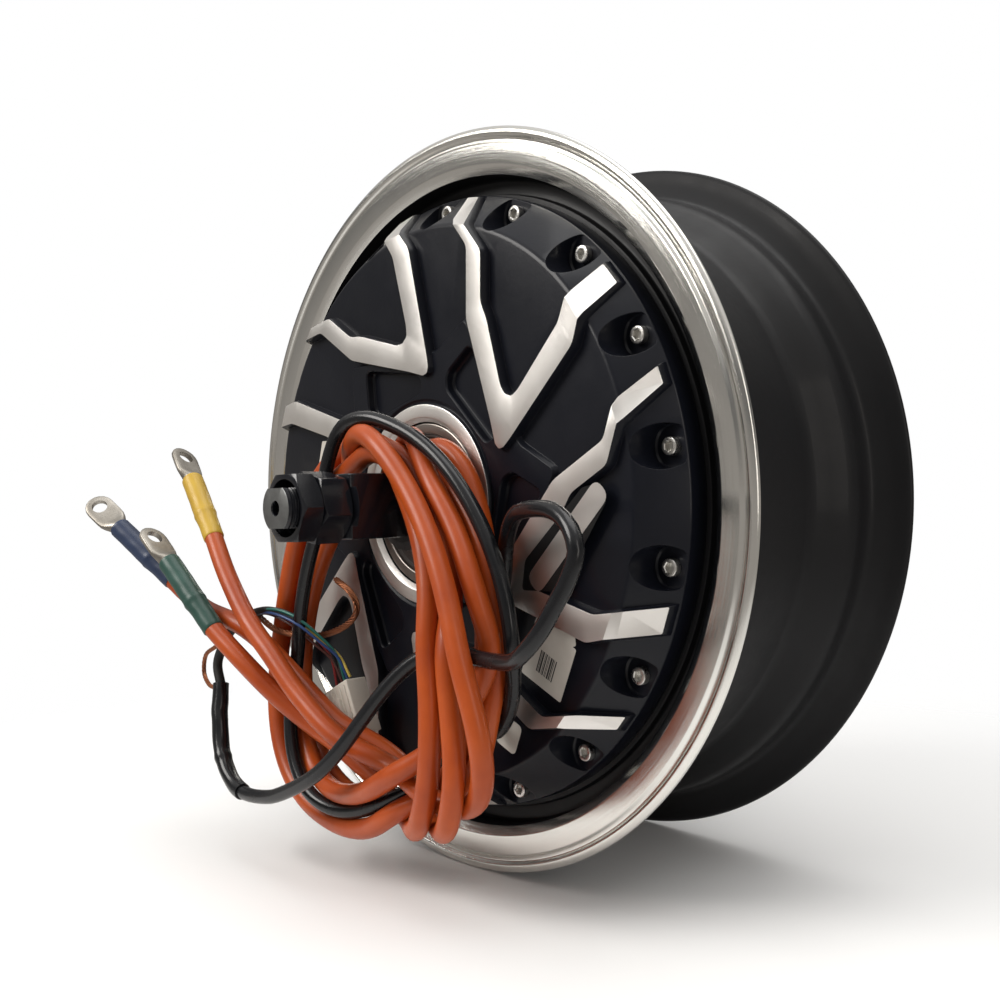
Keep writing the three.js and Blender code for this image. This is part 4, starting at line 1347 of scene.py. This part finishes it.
for word in ("left", "right"):
    paint_node(f"{word}_bearing_inner_race", RACE)
    paint_node(f"{word}_bearing_balls_and_cage", NICKEL)
for node, material in {
    "back_iron_ring": IRON, "magnet_ring": NICKEL, "stator_core": IRON, "stator_windings": COPPER,
    "stator_spider": TURNED, "hall_sensor_board": BOARD, "cable_exit_boot": RUBBER,
}.items():
    paint_node(node, material)


for name in ("yellow", "green", "blue"):
    cords[name].data.materials.append(ORANGE)
cords["signal"].data.materials.append(JACKET)


# ------------------------------------------------------ floor and lights
FLOOR_Z = -FLANGE_R - 0.2
FLOOR_REACH = 1.1                # metres
FLOOR_FADE = (0.15, 0.62)        # shares of the reach where the fade starts and ends


def make_floor():
    """A pale floor that fades into the white background well away from the wheel."""
    bm = bmesh.new()
    bmesh.ops.create_circle(bm, cap_ends=True, segments=96, radius=FLOOR_REACH)
    for v in bm.verts:
        v.co.z = FLOOR_Z * M
    mesh = finish_mesh(bm, "floor")
    n = Nodes("floor_paint")
    n.link(n.mix(n.noise(3.0), (0.90, 0.90, 0.895), (0.92, 0.92, 0.915)), n.shader.inputs["Base Color"])
    n.set(Roughness=0.8)
    reach = n.add("ShaderNodeVectorMath", operation="LENGTH")
    n.link(n.place(), reach.inputs[0])
    fade = n.add("ShaderNodeMapRange", interpolation_type="SMOOTHSTEP")
    fade.inputs["From Min"].default_value = FLOOR_REACH * FLOOR_FADE[0]
    fade.inputs["From Max"].default_value = FLOOR_REACH * FLOOR_FADE[1]
    n.link(reach.outputs["Value"], fade.inputs["Value"])
    clear = n.add("ShaderNodeBsdfTransparent")
    blend = n.add("ShaderNodeMixShader")
    n.link(fade.outputs["Result"], blend.inputs[0])
    n.link(n.shader.outputs[0], blend.inputs[1])
    n.link(clear.outputs[0], blend.inputs[2])
    n.link(blend.outputs[0], n.tree.nodes["Material Output"].inputs["Surface"])
    mesh.materials.append(n.material)
    floor = bpy.data.objects.new("floor", mesh)
    scene.collection.objects.link(floor)


def area_light(name, at, width, height, power, colour):
    """A soft box at a place in metres, turned to the wheel."""
    data = bpy.data.lights.new(name, "AREA")
    data.shape = "RECTANGLE"
    data.size = width
    data.size_y = height
    data.energy = power
    data.color = colour
    light = bpy.data.objects.new(name, data)
    light.location = at
    light.rotation_euler = (-Vector(at)).to_track_quat("-Z", "Y").to_euler()
    scene.collection.objects.link(light)


def make_world():
    """White behind the wheel, and a darker room with a bright ceiling in its reflections."""
    world = bpy.data.worlds.new("studio")
    world.use_nodes = True
    tree = world.node_tree
    room = tree.nodes["Background"]
    room.inputs["Strength"].default_value = 1.0
    where = tree.nodes.new("ShaderNodeTexCoord")
    split = tree.nodes.new("ShaderNodeSeparateXYZ")
    tree.links.new(where.outputs["Generated"], split.inputs[0])
    ramp = tree.nodes.new("ShaderNodeValToRGB")
    tree.links.new(split.outputs["Z"], ramp.inputs[0])
    stops = (
        (0.0, (0.33, 0.31, 0.29)), (0.35, (0.10, 0.10, 0.10)), (0.62, (0.62, 0.60, 0.58)),
        (1.0, (0.9, 0.9, 0.9)),
    )
    while len(ramp.color_ramp.elements) < len(stops):
        ramp.color_ramp.elements.new(0.5)
    for element, (place, colour) in zip(ramp.color_ramp.elements, stops):
        element.position = place
        element.color = (*colour, 1)
    tree.links.new(ramp.outputs[0], room.inputs["Color"])
    white = tree.nodes.new("ShaderNodeBackground")
    white.inputs["Color"].default_value = (1, 1, 1, 1)
    path = tree.nodes.new("ShaderNodeLightPath")
    mix = tree.nodes.new("ShaderNodeMixShader")
    tree.links.new(path.outputs["Is Camera Ray"], mix.inputs[0])
    tree.links.new(room.outputs[0], mix.inputs[1])
    tree.links.new(white.outputs[0], mix.inputs[2])
    tree.links.new(mix.outputs[0], tree.nodes["World Output"].inputs["Surface"])
    scene.world = world


make_floor()
make_world()
area_light("key_light", (-0.75, -1.5, 1.15), 1.1, 0.9, 30, (1.0, 0.97, 0.93))
area_light("side_light", (1.9, -0.5, 0.5), 0.5, 1.4, 6, (1.0, 0.94, 0.88))
area_light("top_light", (0.3, 0.2, 1.8), 1.5, 1.5, 17, (1.0, 0.99, 0.97))
scene.view_settings.view_transform = "Standard"
